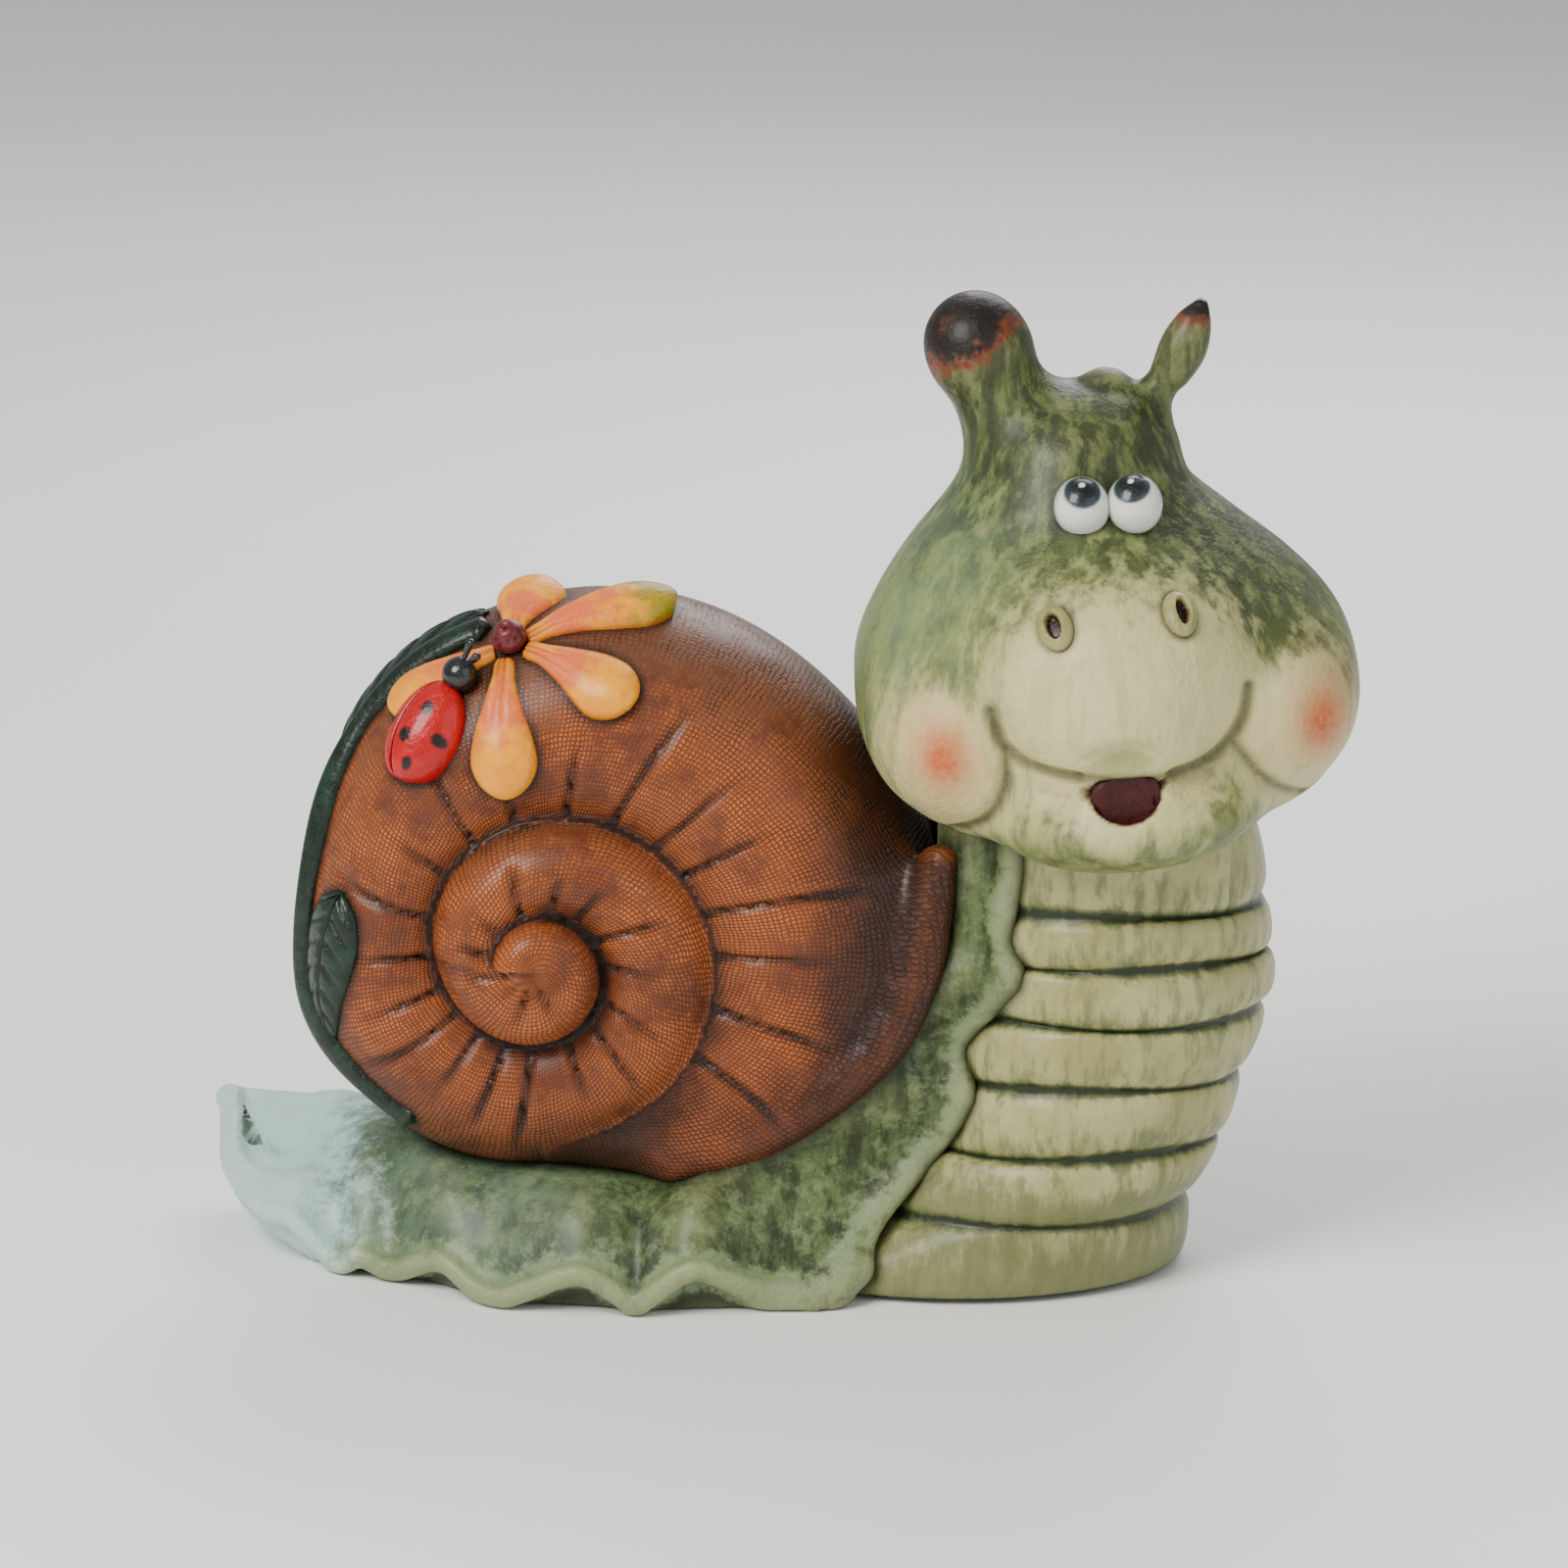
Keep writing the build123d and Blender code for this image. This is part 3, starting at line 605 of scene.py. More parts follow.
@dataclass
class ShellForm:
    """The coil of one growing roll of clay, alike on both sides."""

    centre: tuple = (-0.048, 0, 0.124)
    full_reach: float = 0.142
    half_depth: float = 0.052
    spire_rise: float = 0.026
    overlap_share: float = 0.5
    roll_depth_share: float = 1.15
    core_share: float = 0.52
    groove_depth: float = 0.0024
    groove_width: float = 0.0017
    suture: float = 0.0045
    last_turn: int = 990
    # Turn, then the coil's reach there
    reach_shares: tuple = (
        (0, 0.092),
        (90, 0.110),
        (180, 0.148),
        (270, 0.225),
        (360, 0.258),
        (450, 0.331),
        (540, 0.451),
        (630, 0.625),
        (675, 0.652),
        (700, 0.653),
        (720, 0.630),
        (740, 0.632),
        (760, 0.676),
        (785, 0.748),
        (810, 0.818),
        (835, 0.878),
        (860, 0.918),
        (880, 0.955),
        (900, 0.985),
        (920, 0.940),
        (945, 0.835),
        (963, 0.735),
        (990, 0.600),
    )
    rise_shares: tuple = ((0, 1.00), (180, 0.84), (360, 0.66), (540, 0.42), (720, 0.12), (990, 0.00))
    # The lip's place along, up and across, as shares of the coil's reach and half depth, then its radius
    lip_shares: tuple = (
        (0.350, -0.555, 0.90, 0.0030),
        (0.480, -0.505, 0.91, 0.0040),
        (0.620, -0.437, 0.92, 0.0048),
        (0.850, -0.260, 0.90, 0.0056),
        (0.948, -0.060, 0.84, 0.0060),
        (0.975, 0.100, 0.77, 0.0060),
        (0.990, 0.230, 0.70, 0.0056),
    )
    # The fillet between lip and shell, and the lip's strand inside it as a share of the lip
    web: float = 0.026
    web_share: float = 0.8
    core_fillet: float = 0.002
    knob_fillet: float = 0.004
    # Turns over which the roll grows from round to as deep as the shell
    deepening_turns: tuple = (520, 720)
    seam_share: float = 0.92
    # How a groove leans along its length, how its neighbours differ, and where it fades
    groove_lean: tuple = (5, 3, 2)
    groove_sway: float = 2.3
    groove_ends: tuple = (0.70, 0.14, 0.35)
    # Turns of the grooves, listed from the coil's middle outwards
    groove_turns: tuple = (
        (250, 285, 316, 347, 373, 401, 435, 466, 492, 520, 546, 573, 592, 612, 635, 650, 666, 682, 698)
        + (717, 737, 760, 780, 800, 821, 839, 857, 871, 886, 901, 918, 934)
    )

    def reach(self, turn: Any) -> Points:
        """Tell how far the coil reaches at a turn in degrees."""
        return self.full_reach * read(self.reach_shares, turn, 1)

    def roll(self, turn: Any) -> tuple[Points, Points, Points, Points]:
        """Give the roll at a turn: its distance, half width, half depth and place across."""
        outer = self.reach(turn)
        inner = np.where(turn > 360, self.overlap_share * self.reach(turn - 360), 0)
        half = (outer - inner) / 2
        face = self.half_depth + self.spire_rise * read(self.rise_shares, turn, 1)
        thin = half * self.roll_depth_share
        deep = thin + (face - thin) * ramp(turn, *self.deepening_turns)
        return (outer + inner) / 2, half, deep, face - deep

    def nearest(self, points: Points) -> dict[str, Points]:
        """Find the roll that each point is nearest to, and where on it the point lies."""
        along, across, up = (points - np.array(self.centre)).T
        distance = np.hypot(along, up)
        angle = np.degrees(np.arctan2(up, -along)) % 360
        best = {"level": np.full(len(points), 1.0), "all": np.full(len(points), 1.0)}
        best |= {name: np.zeros(len(points)) for name in ("turn", "share", "lean")}
        for lap in range(3):
            turn = angle + 360 * lap
            middle, half, deep, side = self.roll(turn)
            out, over = distance - middle, np.abs(across) - side
            unit = np.sqrt((out / half) ** 2 + (over / deep) ** 2) + 1e-9
            level = (unit - 1) * unit / np.sqrt((out / half**2) ** 2 + (over / deep**2) ** 2 + 1e-9)
            level = np.where(turn > self.last_turn, 1, level)
            best["all"] = soft_min(best["all"], level, self.suture)
            closer = level < best["level"]
            seam = self.reach(turn - 360) * np.where(turn > 360, self.seam_share, 0)
            values = {
                "level": level,
                "turn": turn,
                "share": (distance - seam) / (self.reach(turn) - seam),
                "lean": np.arctan2(over / deep, out / half),
            }
            for name, value in values.items():
                best[name] = np.where(closer, value, best[name])
        return best

    def groove(self, where: dict[str, Points]) -> Points:
        """Tell how deep the grooves are, from 0 to 1."""
        depth = np.zeros(len(where["turn"]))
        share = where["share"]
        bend, bend_sway, lean = self.groove_lean
        end, end_sway, fade_length = self.groove_ends
        for number, start in enumerate(self.groove_turns):
            sway = math.sin(number * self.groove_sway)
            line = start + (bend + bend_sway * sway) * share * share - lean * share
            gap = np.radians(where["turn"] - line) * self.roll(where["turn"])[0]
            fade = ramp(end + end_sway * sway - share, 0, fade_length)
            depth = np.maximum(depth, bell(gap, self.groove_width) * fade)
        return depth

    def form(self, points: Points) -> Points:
        """Measure how far points are outside the shell."""
        where = self.nearest(points)
        core = self.core_share * self.full_reach
        knob = self.reach(0.0)
        mirrored = np.column_stack([points[:, 0], abs(points[:, 1]), points[:, 2]])
        top = (self.centre[0], self.half_depth + self.spire_rise - knob, self.centre[2])
        middle = blob(points, self.centre, (core, self.half_depth, core))
        level = soft_min(where["all"], middle, self.core_fillet)
        level = soft_min(level, blob(mirrored, top, (knob,) * 3), self.knob_fillet)
        level = level + self.groove_depth * self.groove(where)
        for hand in (-1, 1):
            line, radii = self.lip(hand)
            level = soft_min(level, rope(points, line[::4], radii[::4] * self.web_share), self.web)
        return level

    def lip(self, hand: int) -> tuple[Points, Points]:
        """Give the line and the radii of the rolled lip on one hand."""
        rows = smooth_line(self.lip_shares, 8)
        x, _, z = self.centre
        along, up = x + self.full_reach * rows[:, 0], z + self.full_reach * rows[:, 1]
        return np.column_stack([along, hand * self.half_depth * rows[:, 2], up]), rows[:, 3]

    def on_skin(self, turn: Any, lean: Any, height: Any) -> Points:
        """Give points so high over the outer roll, at turns in degrees and leans in radians."""
        middle, half, deep, _ = self.roll(turn)
        out, over = np.cos(lean) / half, np.sin(lean) / deep
        size = np.hypot(out, over)
        away = middle + half * np.cos(lean) + height * out / size
        across = deep * np.sin(lean) + height * over / size
        angle = np.radians(turn)
        x, _, z = self.centre
        return np.column_stack([x - away * np.cos(angle), across, z + away * np.sin(angle)])


@dataclass
class SkinForm:
    """The snail's foot with its ruffled edge, and the mantle that rises from it round the neck."""

    front: float = 0.066
    tail: float = -0.177
    slope: float = 0.018
    lift_width: float = 0.026
    floor_width: float = 0.008
    rim: float = 0.0034
    frill: float = 0.0040
    tail_climb: float = 0.24
    tail_ease: tuple = (0.145, 0.165)
    blend: float = 0.018
    # How round the foot's edges and the mantle's are, and the fillets of the rolled edges
    tail_round: float = 0.006
    spine_round: float = 0.020
    thin_round: float = 0.003
    side_round: float = 0.004
    wall_front_round: float = 0.006
    wall_back_round: float = 0.016
    wall_top_round: float = 0.004
    rim_fillet: float = 0.006
    frill_fillet: float = 0.007
    ground_round: float = 0.001
    # Place along, then the near edge's place across and its height
    near_edge: tuple = (
        (-0.171, 0.045, 0.037),
        (-0.168, 0.020, 0.032),
        (-0.165, 0.000, 0.0265),
        (-0.157, -0.015, 0.021),
        (-0.149, -0.026, 0.018),
        (-0.139, -0.034, 0.019),
        (-0.128, -0.038, 0.009),
        (-0.121, -0.041, 0.0045),
        (-0.113, -0.045, 0.0085),
        (-0.104, -0.047, 0.005),
        (-0.0975, -0.050, 0.006),
        (-0.083, -0.060, 0.013),
        (-0.0706, -0.068, 0.006),
        (-0.061, -0.073, 0.0042),
        (-0.052, -0.076, 0.0078),
        (-0.033, -0.079, 0.0155),
        (-0.0204, -0.079, 0.010),
        (-0.013, -0.078, 0.0042),
        (-0.007, -0.079, 0.008),
        (0.008, -0.079, 0.018),
        (0.023, -0.074, 0.012),
        (0.0345, -0.068, 0.006),
        (0.048, -0.066, 0.005),
        (0.058, -0.062, 0.009),
        (0.066, -0.058, 0.012),
    )
    far_edge: tuple = (
        (-0.171, 0.045, 0.037),
        (-0.167, 0.051, 0.035),
        (-0.1455, 0.053, 0.033),
        (-0.130, 0.056, 0.029),
        (-0.112, 0.058, 0.016),
        (-0.095, 0.061, 0.012),
        (-0.078, 0.067, 0.0042),
        (-0.060, 0.072, 0.007),
        (-0.045, 0.077, 0.015),
        (-0.024, 0.080, 0.008),
        (-0.012, 0.080, 0.0042),
        (0.006, 0.079, 0.013),
        (0.022, 0.075, 0.009),
        (0.037, 0.069, 0.0042),
        (0.050, 0.066, 0.006),
        (0.066, 0.058, 0.012),
    )
    # Place along, then the rise of the back and the height of the underside
    back_rise: tuple = (
        (-0.168, 0.016, 0.027),
        (-0.160, 0.020, 0.020),
        (-0.144, 0.026, 0.010),
        (-0.122, 0.042, 0.000),
        (-0.095, 0.049, 0.000),
        (-0.050, 0.047, 0.000),
        (0.000, 0.046, 0.000),
        (0.030, 0.050, 0.000),
        (0.066, 0.054, 0.000),
    )
    # Height, then the frill's place and half width, and the back's place and half width
    mantle: tuple = (
        (0.000, 0.057, 0.063, -0.012, 0.062),
        (0.009, 0.058, 0.062, -0.011, 0.062),
        (0.024, 0.066, 0.051, 0.000, 0.058),
        (0.042, 0.082, 0.043, 0.014, 0.055),
        (0.048, 0.087, 0.040, 0.020, 0.054),
        (0.071, 0.101, 0.042, 0.049, 0.052),
        (0.090, 0.098, 0.036, 0.069, 0.049),
        (0.116, 0.118, 0.048, 0.085, 0.046),
        (0.130, 0.114, 0.045, 0.090, 0.041),
        (0.158, 0.118, 0.047, 0.090, 0.036),
        (0.170, 0.118, 0.046, 0.090, 0.034),
    )

    def __post_init__(self) -> None:
        """Work out the lines of the rolled edges."""
        self.edge_lines = [smooth_line(edge, 3) for edge in (self.near_edge, self.far_edge)]
        frill = smooth_line([(row[1], -row[2], row[0]) for row in self.mantle[1:]], 3)
        self.frill_lines = [frill, frill * (1, -1, 1)]

    def slab(self, points: Points) -> Points:
        """Measure how far points are outside the foot's spread."""
        along, across, up = points.T
        near = across - read(self.near_edge, along, 1)
        far = read(self.far_edge, along, 1) - across
        tail_share = ramp(-along, *self.tail_ease)
        near_lift = read(self.near_edge, np.maximum(along, -self.tail_ease[1]), 2)
        near_lift = near_lift + self.tail_climb * np.maximum(across, 0) * tail_share
        far_lift = read(self.far_edge, along, 2)
        near = soft_min(near, along - self.tail, self.tail_round)
        inside = soft_min(near, far, self.spine_round)
        top = read(self.back_rise, along, 1) * (1 - np.exp(-np.maximum(inside, 0) / self.slope))
        near, far = np.maximum(near, 0), np.maximum(far, 0)
        near_top, far_top = near_lift * bell(near, self.lift_width), far_lift * bell(far, self.lift_width)
        top = top + soft_max(near_top, far_top, self.thin_round)
        low = np.maximum(near_lift * bell(near, self.floor_width), far_lift * bell(far, self.floor_width))
        low = np.maximum(low, read(self.back_rise, along, 2)) - self.rim * (1 + tail_share)
        level = soft_max(up - top, low - up, self.thin_round)
        level = soft_max(level, -inside, self.side_round)
        return soft_max(level, np.maximum(along - self.front, self.tail - along), self.thin_round)

    def wall(self, points: Points) -> Points:
        """Measure how far points are outside the mantle's wall."""
        along, across, up = points.T
        front, side, back, back_side = (read(self.mantle, up, column) for column in range(1, 5))
        share = np.clip((along - back) / (front - back), -0.3, 1)
        width = back_side + (side - back_side) * share
        level = soft_max(np.abs(across) - width, along - front, self.wall_front_round)
        level = soft_max(level, back - along, self.wall_back_round)
        return soft_max(level, np.maximum(up - self.mantle[-1][0], -up), self.wall_top_round)

    def form(self, points: Points) -> Points:
        """Measure how far points are outside the foot and the mantle."""
        level = self.slab(points)
        for line in self.edge_lines:
            level = soft_min(level, rope(points, line, np.full(len(line), self.rim)), self.rim_fillet)
        level = soft_min(level, self.wall(points), self.blend)
        for line in self.frill_lines:
            level = soft_min(level, rope(points, line, np.full(len(line), self.frill)), self.frill_fillet)
        return soft_max(level, -points[:, 2], self.ground_round)


# Modelling what the forms ask for
def lump(name: str, centre: Sequence[float], radii: Sequence[float], axes: Points | None = None) -> Thing:
    """Add an egg of clay.

    Args:
        name: The egg's name.
        centre: Its place.
        radii: Its half sizes.
        axes: The directions of its half sizes, one a row.

    Returns:
        The egg.
    """
    egg = add_sphere(name, 32, 20)
    turned = points_of(egg) * np.array(radii)
    place_points(egg, np.array(centre) + (turned if axes is None else turned @ axes))
    return egg


def strand(name: str, line: Points, radii: Points, segments: int = 16) -> Thing:
    """Roll a strand of clay along a line, with round ends."""
    ahead = units(np.gradient(line, axis=0))
    side = units(np.cross(ahead, np.eye(3)[np.argmin(np.abs(ahead.mean(axis=0)))]))
    over = np.cross(side, ahead)
    walked = np.concatenate([[0], np.cumsum(length_of(np.diff(line, axis=0)))])
    total = walked[-1]

    def place(along: Points, angle: Points) -> Points:
        """Give the strand's points."""
        reach = along * (total + radii[0] + radii[-1]) - radii[0]
        spot = np.clip(reach, 0, total)
        centre, out, up, forward, radius = (
            np.stack([np.interp(spot, walked, column) for column in values.T], axis=1)
            for values in (line, side, over, ahead, radii[:, None])
        )
        past = np.clip((reach - spot)[:, None] / np.maximum(radius, 1e-6), -1, 1)
        round_off = np.sqrt(1 - past * past) * radius
        ring = out * np.cos(angle)[:, None] + up * np.sin(angle)[:, None]
        return centre + ring * round_off + forward * past * radius

    return mould(name, segments, max(12, int(total / radii.mean() * 2.5)), place)


def smooth_off(pieces: Made) -> Made:
    """Shade finished pieces smoothly, but for their sharp edges, and give them back."""
    for body, _, _ in pieces:
        take(body)
        bpy.ops.object.shade_smooth_by_angle(angle=SOFT_ANGLE)
    return pieces


# Finishes
def paint(red: float, green: float, blue: float) -> Color:
    """Turn a colour as seen on paper, from 0 to 255, into the colour of light."""
    seen = (red, green, blue)
    return tuple(((value / 255 + 0.055) / 1.055) ** 2.4 if value > 10 else value / 3294 for value in seen)


class Wire:
    """A value on its way through a finish, on which arithmetic adds the nodes that do it."""

    def __init__(self, bench: "Bench", socket: bpy.types.NodeSocket) -> None:
        """Hold the socket that the value comes from."""
        self.bench = bench
        self.socket = socket

    def sum_up(self, operation: str, *values: Any) -> "Wire":
        """Add a Math node that works on this value's neighbours."""
        return self.bench.node("Math", {"operation": operation}, dict(enumerate(values)))

    def __add__(self, other: Any) -> "Wire":
        """Add."""
        return self.sum_up("ADD", self, other)

    __radd__ = __add__

    def __sub__(self, other: Any) -> "Wire":
        """Take away."""
        return self.sum_up("SUBTRACT", self, other)

    def __rsub__(self, other: Any) -> "Wire":
        """Take this value away from another."""
        return self.sum_up("SUBTRACT", other, self)

    def __mul__(self, other: Any) -> "Wire":
        """Multiply."""
        return self.sum_up("MULTIPLY", self, other)

    __rmul__ = __mul__

    def __truediv__(self, other: Any) -> "Wire":
        """Divide."""
        return self.sum_up("DIVIDE", self, other)


class Bench:
    """Where one finish is mixed: a material and its nodes."""

    def __init__(self, name: str) -> None:
        """Start a material with nothing but its shader."""
        self.material = bpy.data.materials.new(name)
        self.material.use_nodes = True
        self.nodes = self.material.node_tree.nodes
        self.links = self.material.node_tree.links
        self.shader = next(node for node in self.nodes if node.type == "BSDF_PRINCIPLED")
        self.place = self.node("TexCoord", {}, {}, "Object")

    def node(self, kind: str, settings: dict, inputs: dict, output: Any = 0) -> Wire:
        """Add a node.

        Args:
            kind: The node's type, without its family name.
            settings: The node's own settings, which are made first.
            inputs: Values or wires for its sockets, by name or number.
            output: The socket that is wanted.

        Returns:
            The wanted output.
        """
        node = self.nodes.new("ShaderNode" + kind)
        for name, value in settings.items():
            setattr(node, name, value)
        for socket, value in inputs.items():
            self.feed(self.find(node.inputs, socket), value)
        return Wire(self, self.find(node.outputs, output))

    def find(self, sockets: Any, wanted: Any) -> bpy.types.NodeSocket:
        """Find a socket by its number, its identifier or its name."""
        if isinstance(wanted, int):
            return sockets[wanted]
        return next((socket for socket in sockets if socket.identifier == wanted), None) or sockets[wanted]

    def feed(self, socket: bpy.types.NodeSocket, value: Any) -> None:
        """Link or set a socket."""
        if isinstance(value, Wire):
            self.links.new(value.socket, socket)
        elif isinstance(value, tuple) and len(value) == 3 and socket.type == "RGBA":
            socket.default_value = (*value, 1)
        else:
            socket.default_value = value

    def noise(self, scale: float, detail: float = 3, stretch: tuple = (1, 1, 1), rough: float = 0.55) -> Wire:
        """Give an even noise from 0 to 1, of a size in the object's own metres."""
        spot = self.node("VectorMath", {"operation": "MULTIPLY"}, {0: self.place, 1: stretch})
        inputs = {"Vector": spot, "Scale": scale, "Detail": detail, "Roughness": rough}
        return self.span(self.node("TexNoise", {}, inputs), 0.3, 0.7)

    def span(self, value: Any, low: float, high: float) -> Wire:
        """Rise smoothly from 0 at low to 1 at high."""
        inputs = {"Value": value, "From Min": low, "From Max": high}
        return self.node("MapRange", {"interpolation_type": "SMOOTHSTEP"}, inputs)

    def mark(self, name: str) -> Wire:
        """Read a value that is stored at the piece's vertices."""
        return self.node("Attribute", {"attribute_name": name}, {}, "Fac")

    def split(self, name: str) -> list[Wire]:
        """Read three values that are stored at the piece's vertices."""
        vector = self.node("Attribute", {"attribute_name": name}, {}, "Vector")
        parts = self.node("SeparateXYZ", {}, {0: vector})
        outputs = parts.socket.node.outputs
        return [Wire(self, outputs[number]) for number in range(3)]

    def blend(self, share: Any, first: Any, second: Any) -> Wire:
        """Mix two colours."""
        inputs = {"Factor_Float": share, "A_Color": first, "B_Color": second}
        return self.node("Mix", {"data_type": "RGBA"}, inputs, "Result_Color")

    def coats(self, color: Any, *layers: tuple[Any, Any]) -> Any:
        """Brush colours over one another, each with the share that it covers."""
        for share, coat in layers:
            color = self.blend(share, color, coat)
        return color

    def finish(
        self, color: Any, roughness: Any, height: Any, depth: float, coat: float, gloss: float
    ) -> Material:
        """Wire the shader up.

        Args:
            color: The colour.
            roughness: The roughness.
            height: The height of the relief, from 0 to 1, or None.
            depth: How deep the relief is, in metres.
            coat: How much clear glaze lies over it.
            gloss: How rough that glaze is.

        Returns:
            The finished material.
        """
        values = {"Base Color": color, "Roughness": roughness, "Specular IOR Level": CLAY_SHINE}
        values |= {"Coat Weight": coat, "Coat Roughness": gloss}
        if height is not None:
            values["Normal"] = self.node("Bump", {}, {"Height": height, "Strength": 1.0, "Distance": depth})
        for name, value in values.items():
            self.feed(self.shader.inputs[name], value)
        return self.material


class Zone(Enum):
    """What a mossy glaze is brushed on."""

    FACE = "face"
    SKIN = "skin"


@dataclass(frozen=True)
class MossyGlaze:
    """A brushed green glaze, wiped off to cream where it stands proud, with painted shade and highlights."""

    zone: Zone
    green: Color = paint(90, 106, 60)
    shade: Color = paint(37, 46, 16)
    # The colour of the painted shade in creases, hollows, under the lifted edges and where pieces meet
    deep: Color = paint(22, 30, 10)
    # A painted cool highlight, on the lit side of the head and towards the tail
    cool_highlight: Color = paint(98, 124, 104)
    cream: Color = paint(208, 198, 142)
    leaf: Color = paint(140, 150, 82)
    blush: Color = paint(192, 70, 6)
    cap: Color = paint(20, 10, 5)
    rust: Color = paint(126, 44, 10)
    mouth: Color = paint(60, 8, 6)
    rim: Color = paint(120, 136, 96)
    # A painted pale highlight on the tail
    ice: Color = paint(178, 214, 212)
    # Noises: the scale, the detail, the stretch and the roughness
    streaks: tuple = (150, 5, (1, 1, 0.2), 0.65)
    clouds: tuple = (34, 6, (1, 1, 1), 0.7)
    grains: tuple = (420, 3)
    soots: tuple = (90, 6, (1, 1, 1), 0.75)

    def make(self) -> Material:
        """Mix the glaze."""
        bench = Bench("mossy_" + self.zone.value)
        streak, cloud = bench.noise(*self.streaks), bench.noise(*self.clouds)
        fine, shade_and_speckle = bench.noise(*self.grains), bench.noise(*self.soots)
        patches = bench.span(streak * 0.5 + cloud * 0.3 + shade_and_speckle * 0.3, 0.2, 0.9)
        color = bench.blend(patches, self.shade, self.green)
        # Painted cool highlight
        color = bench.blend(bench.mark("cool_highlight") * (0.35 + 0.65 * cloud), color, self.cool_highlight)
        if self.zone is Zone.FACE:
            wiped = bench.mark("pale") + (streak - 0.5) * 0.5 + (cloud - 0.5) * 0.25
            color = bench.coats(
                color,
                (bench.mark("leaf") * (0.2 + 0.5 * shade_and_speckle), self.leaf),
                # Painted shade on the side away from the light, and the crown's darker glaze
                (bench.mark("dark") * (0.5 + 0.45 * shade_and_speckle), self.shade),
                (bench.span(wiped, 0.12, 0.9), self.cream),
                (bench.span(streak, 0.3, 0.9) * 0.3, self.leaf),
                (bench.mark("blush") * (0.8 + 0.2 * fine), self.blush),
                # Painted shade in the scoop under the lip, a painted highlight along the lip, and painted
                # shade in the creases
                (bench.mark("scoop") * 0.7, self.leaf),
                (bench.mark("lip") * 0.8, self.cream),
                (bench.mark("line") * 0.65, self.deep),
            )
        else:
            color = bench.coats(
                color,
                (bench.span(shade_and_speckle, 0.45, 0.95) * 0.5, self.rim),
                # Painted shade under the lifted edges
                (bench.mark("under") * (0.6 + 0.35 * shade_and_speckle), self.deep),
                (bench.span(bench.mark("pale") + (shade_and_speckle - 0.5) * 0.8, 0.25, 0.9), self.rim),
                # A painted pale highlight on the tail
                (bench.span(bench.mark("ice") + (shade_and_speckle - 0.5) * 0.5, 0.2, 0.9) * 0.9, self.ice),
            )
        color = bench.coats(
            color,
            # Painted shade in the hollows, a painted highlight on the ridges, and painted shade where pieces
            # meet
            (bench.span(bench.mark("recess_shade") + (fine - 0.5) * 0.12, 0.1, 0.8) * 0.7, self.deep),
            (bench.mark("ridge") * 0.3, self.cream),
            (bench.mark("contact_shade") * 0.8, self.deep),
        )
        if self.zone is Zone.FACE:
            edge = bench.mark("cap") + (shade_and_speckle - 0.5) * 0.6
            color = bench.coats(
                color,
                (bench.span(edge, 0.25, 0.55) * (0.4 + 0.6 * fine), self.rust),
                (bench.span(edge, 0.45, 0.9), self.cap),
                (bench.mark("mouth"), self.mouth),
            )
        height = fine * 0.4 + shade_and_speckle * 0.3 + streak * 0.3
        return bench.finish(color, 0.4 + 0.2 * cloud, height, 0.0005, 0.2, 0.28)


@dataclass(frozen=True)
class CreamGlaze:
    """A cream glaze on the neck's rolls, with green left in their grooves and painted shade deep in them."""

    cream: Color = paint(180, 176, 126)
    warm: Color = paint(150, 146, 88)
    moss: Color = paint(96, 104, 58)
    # The colour of the painted shade in the grooves and where pieces meet
    deep: Color = paint(34, 42, 16)
    hole: Color = paint(44, 9, 5)

    def make(self) -> Material:
        """Mix the glaze."""
        bench = Bench("cream_glaze")
        streak = bench.noise(190, 5, (1, 1, 0.3), rough=0.65)
        cloud = bench.noise(30, 4)
        fine = bench.noise(420, 3)
        mossy = bench.span(bench.mark("moss") + (streak - 0.5) * 0.7, 0.1, 1)
        sunk = bench.mark("recess_shade") * 0.4 + bench.mark("groove") + (streak - 0.5) * 0.4
        color = bench.coats(
            self.warm,
            (cloud, self.cream),
            (bench.span(streak, 0.35, 0.95) * 0.34, self.moss),
            (mossy * 0.75, self.moss),
            (bench.span(sunk, 0.08, 0.6), self.moss),
            # Painted shade deep in the grooves and hollows, and where pieces meet
            (bench.span(sunk, 0.45, 1.0), self.deep),
            (bench.mark("contact_shade") * 0.8, self.deep),
            (bench.mark("hole"), self.hole),
        )
        height = fine * 0.4 + streak * 0.4 + cloud * 0.3
        return bench.finish(color, 0.38 + 0.2 * cloud, height, 0.0004, 0.25, 0.25)


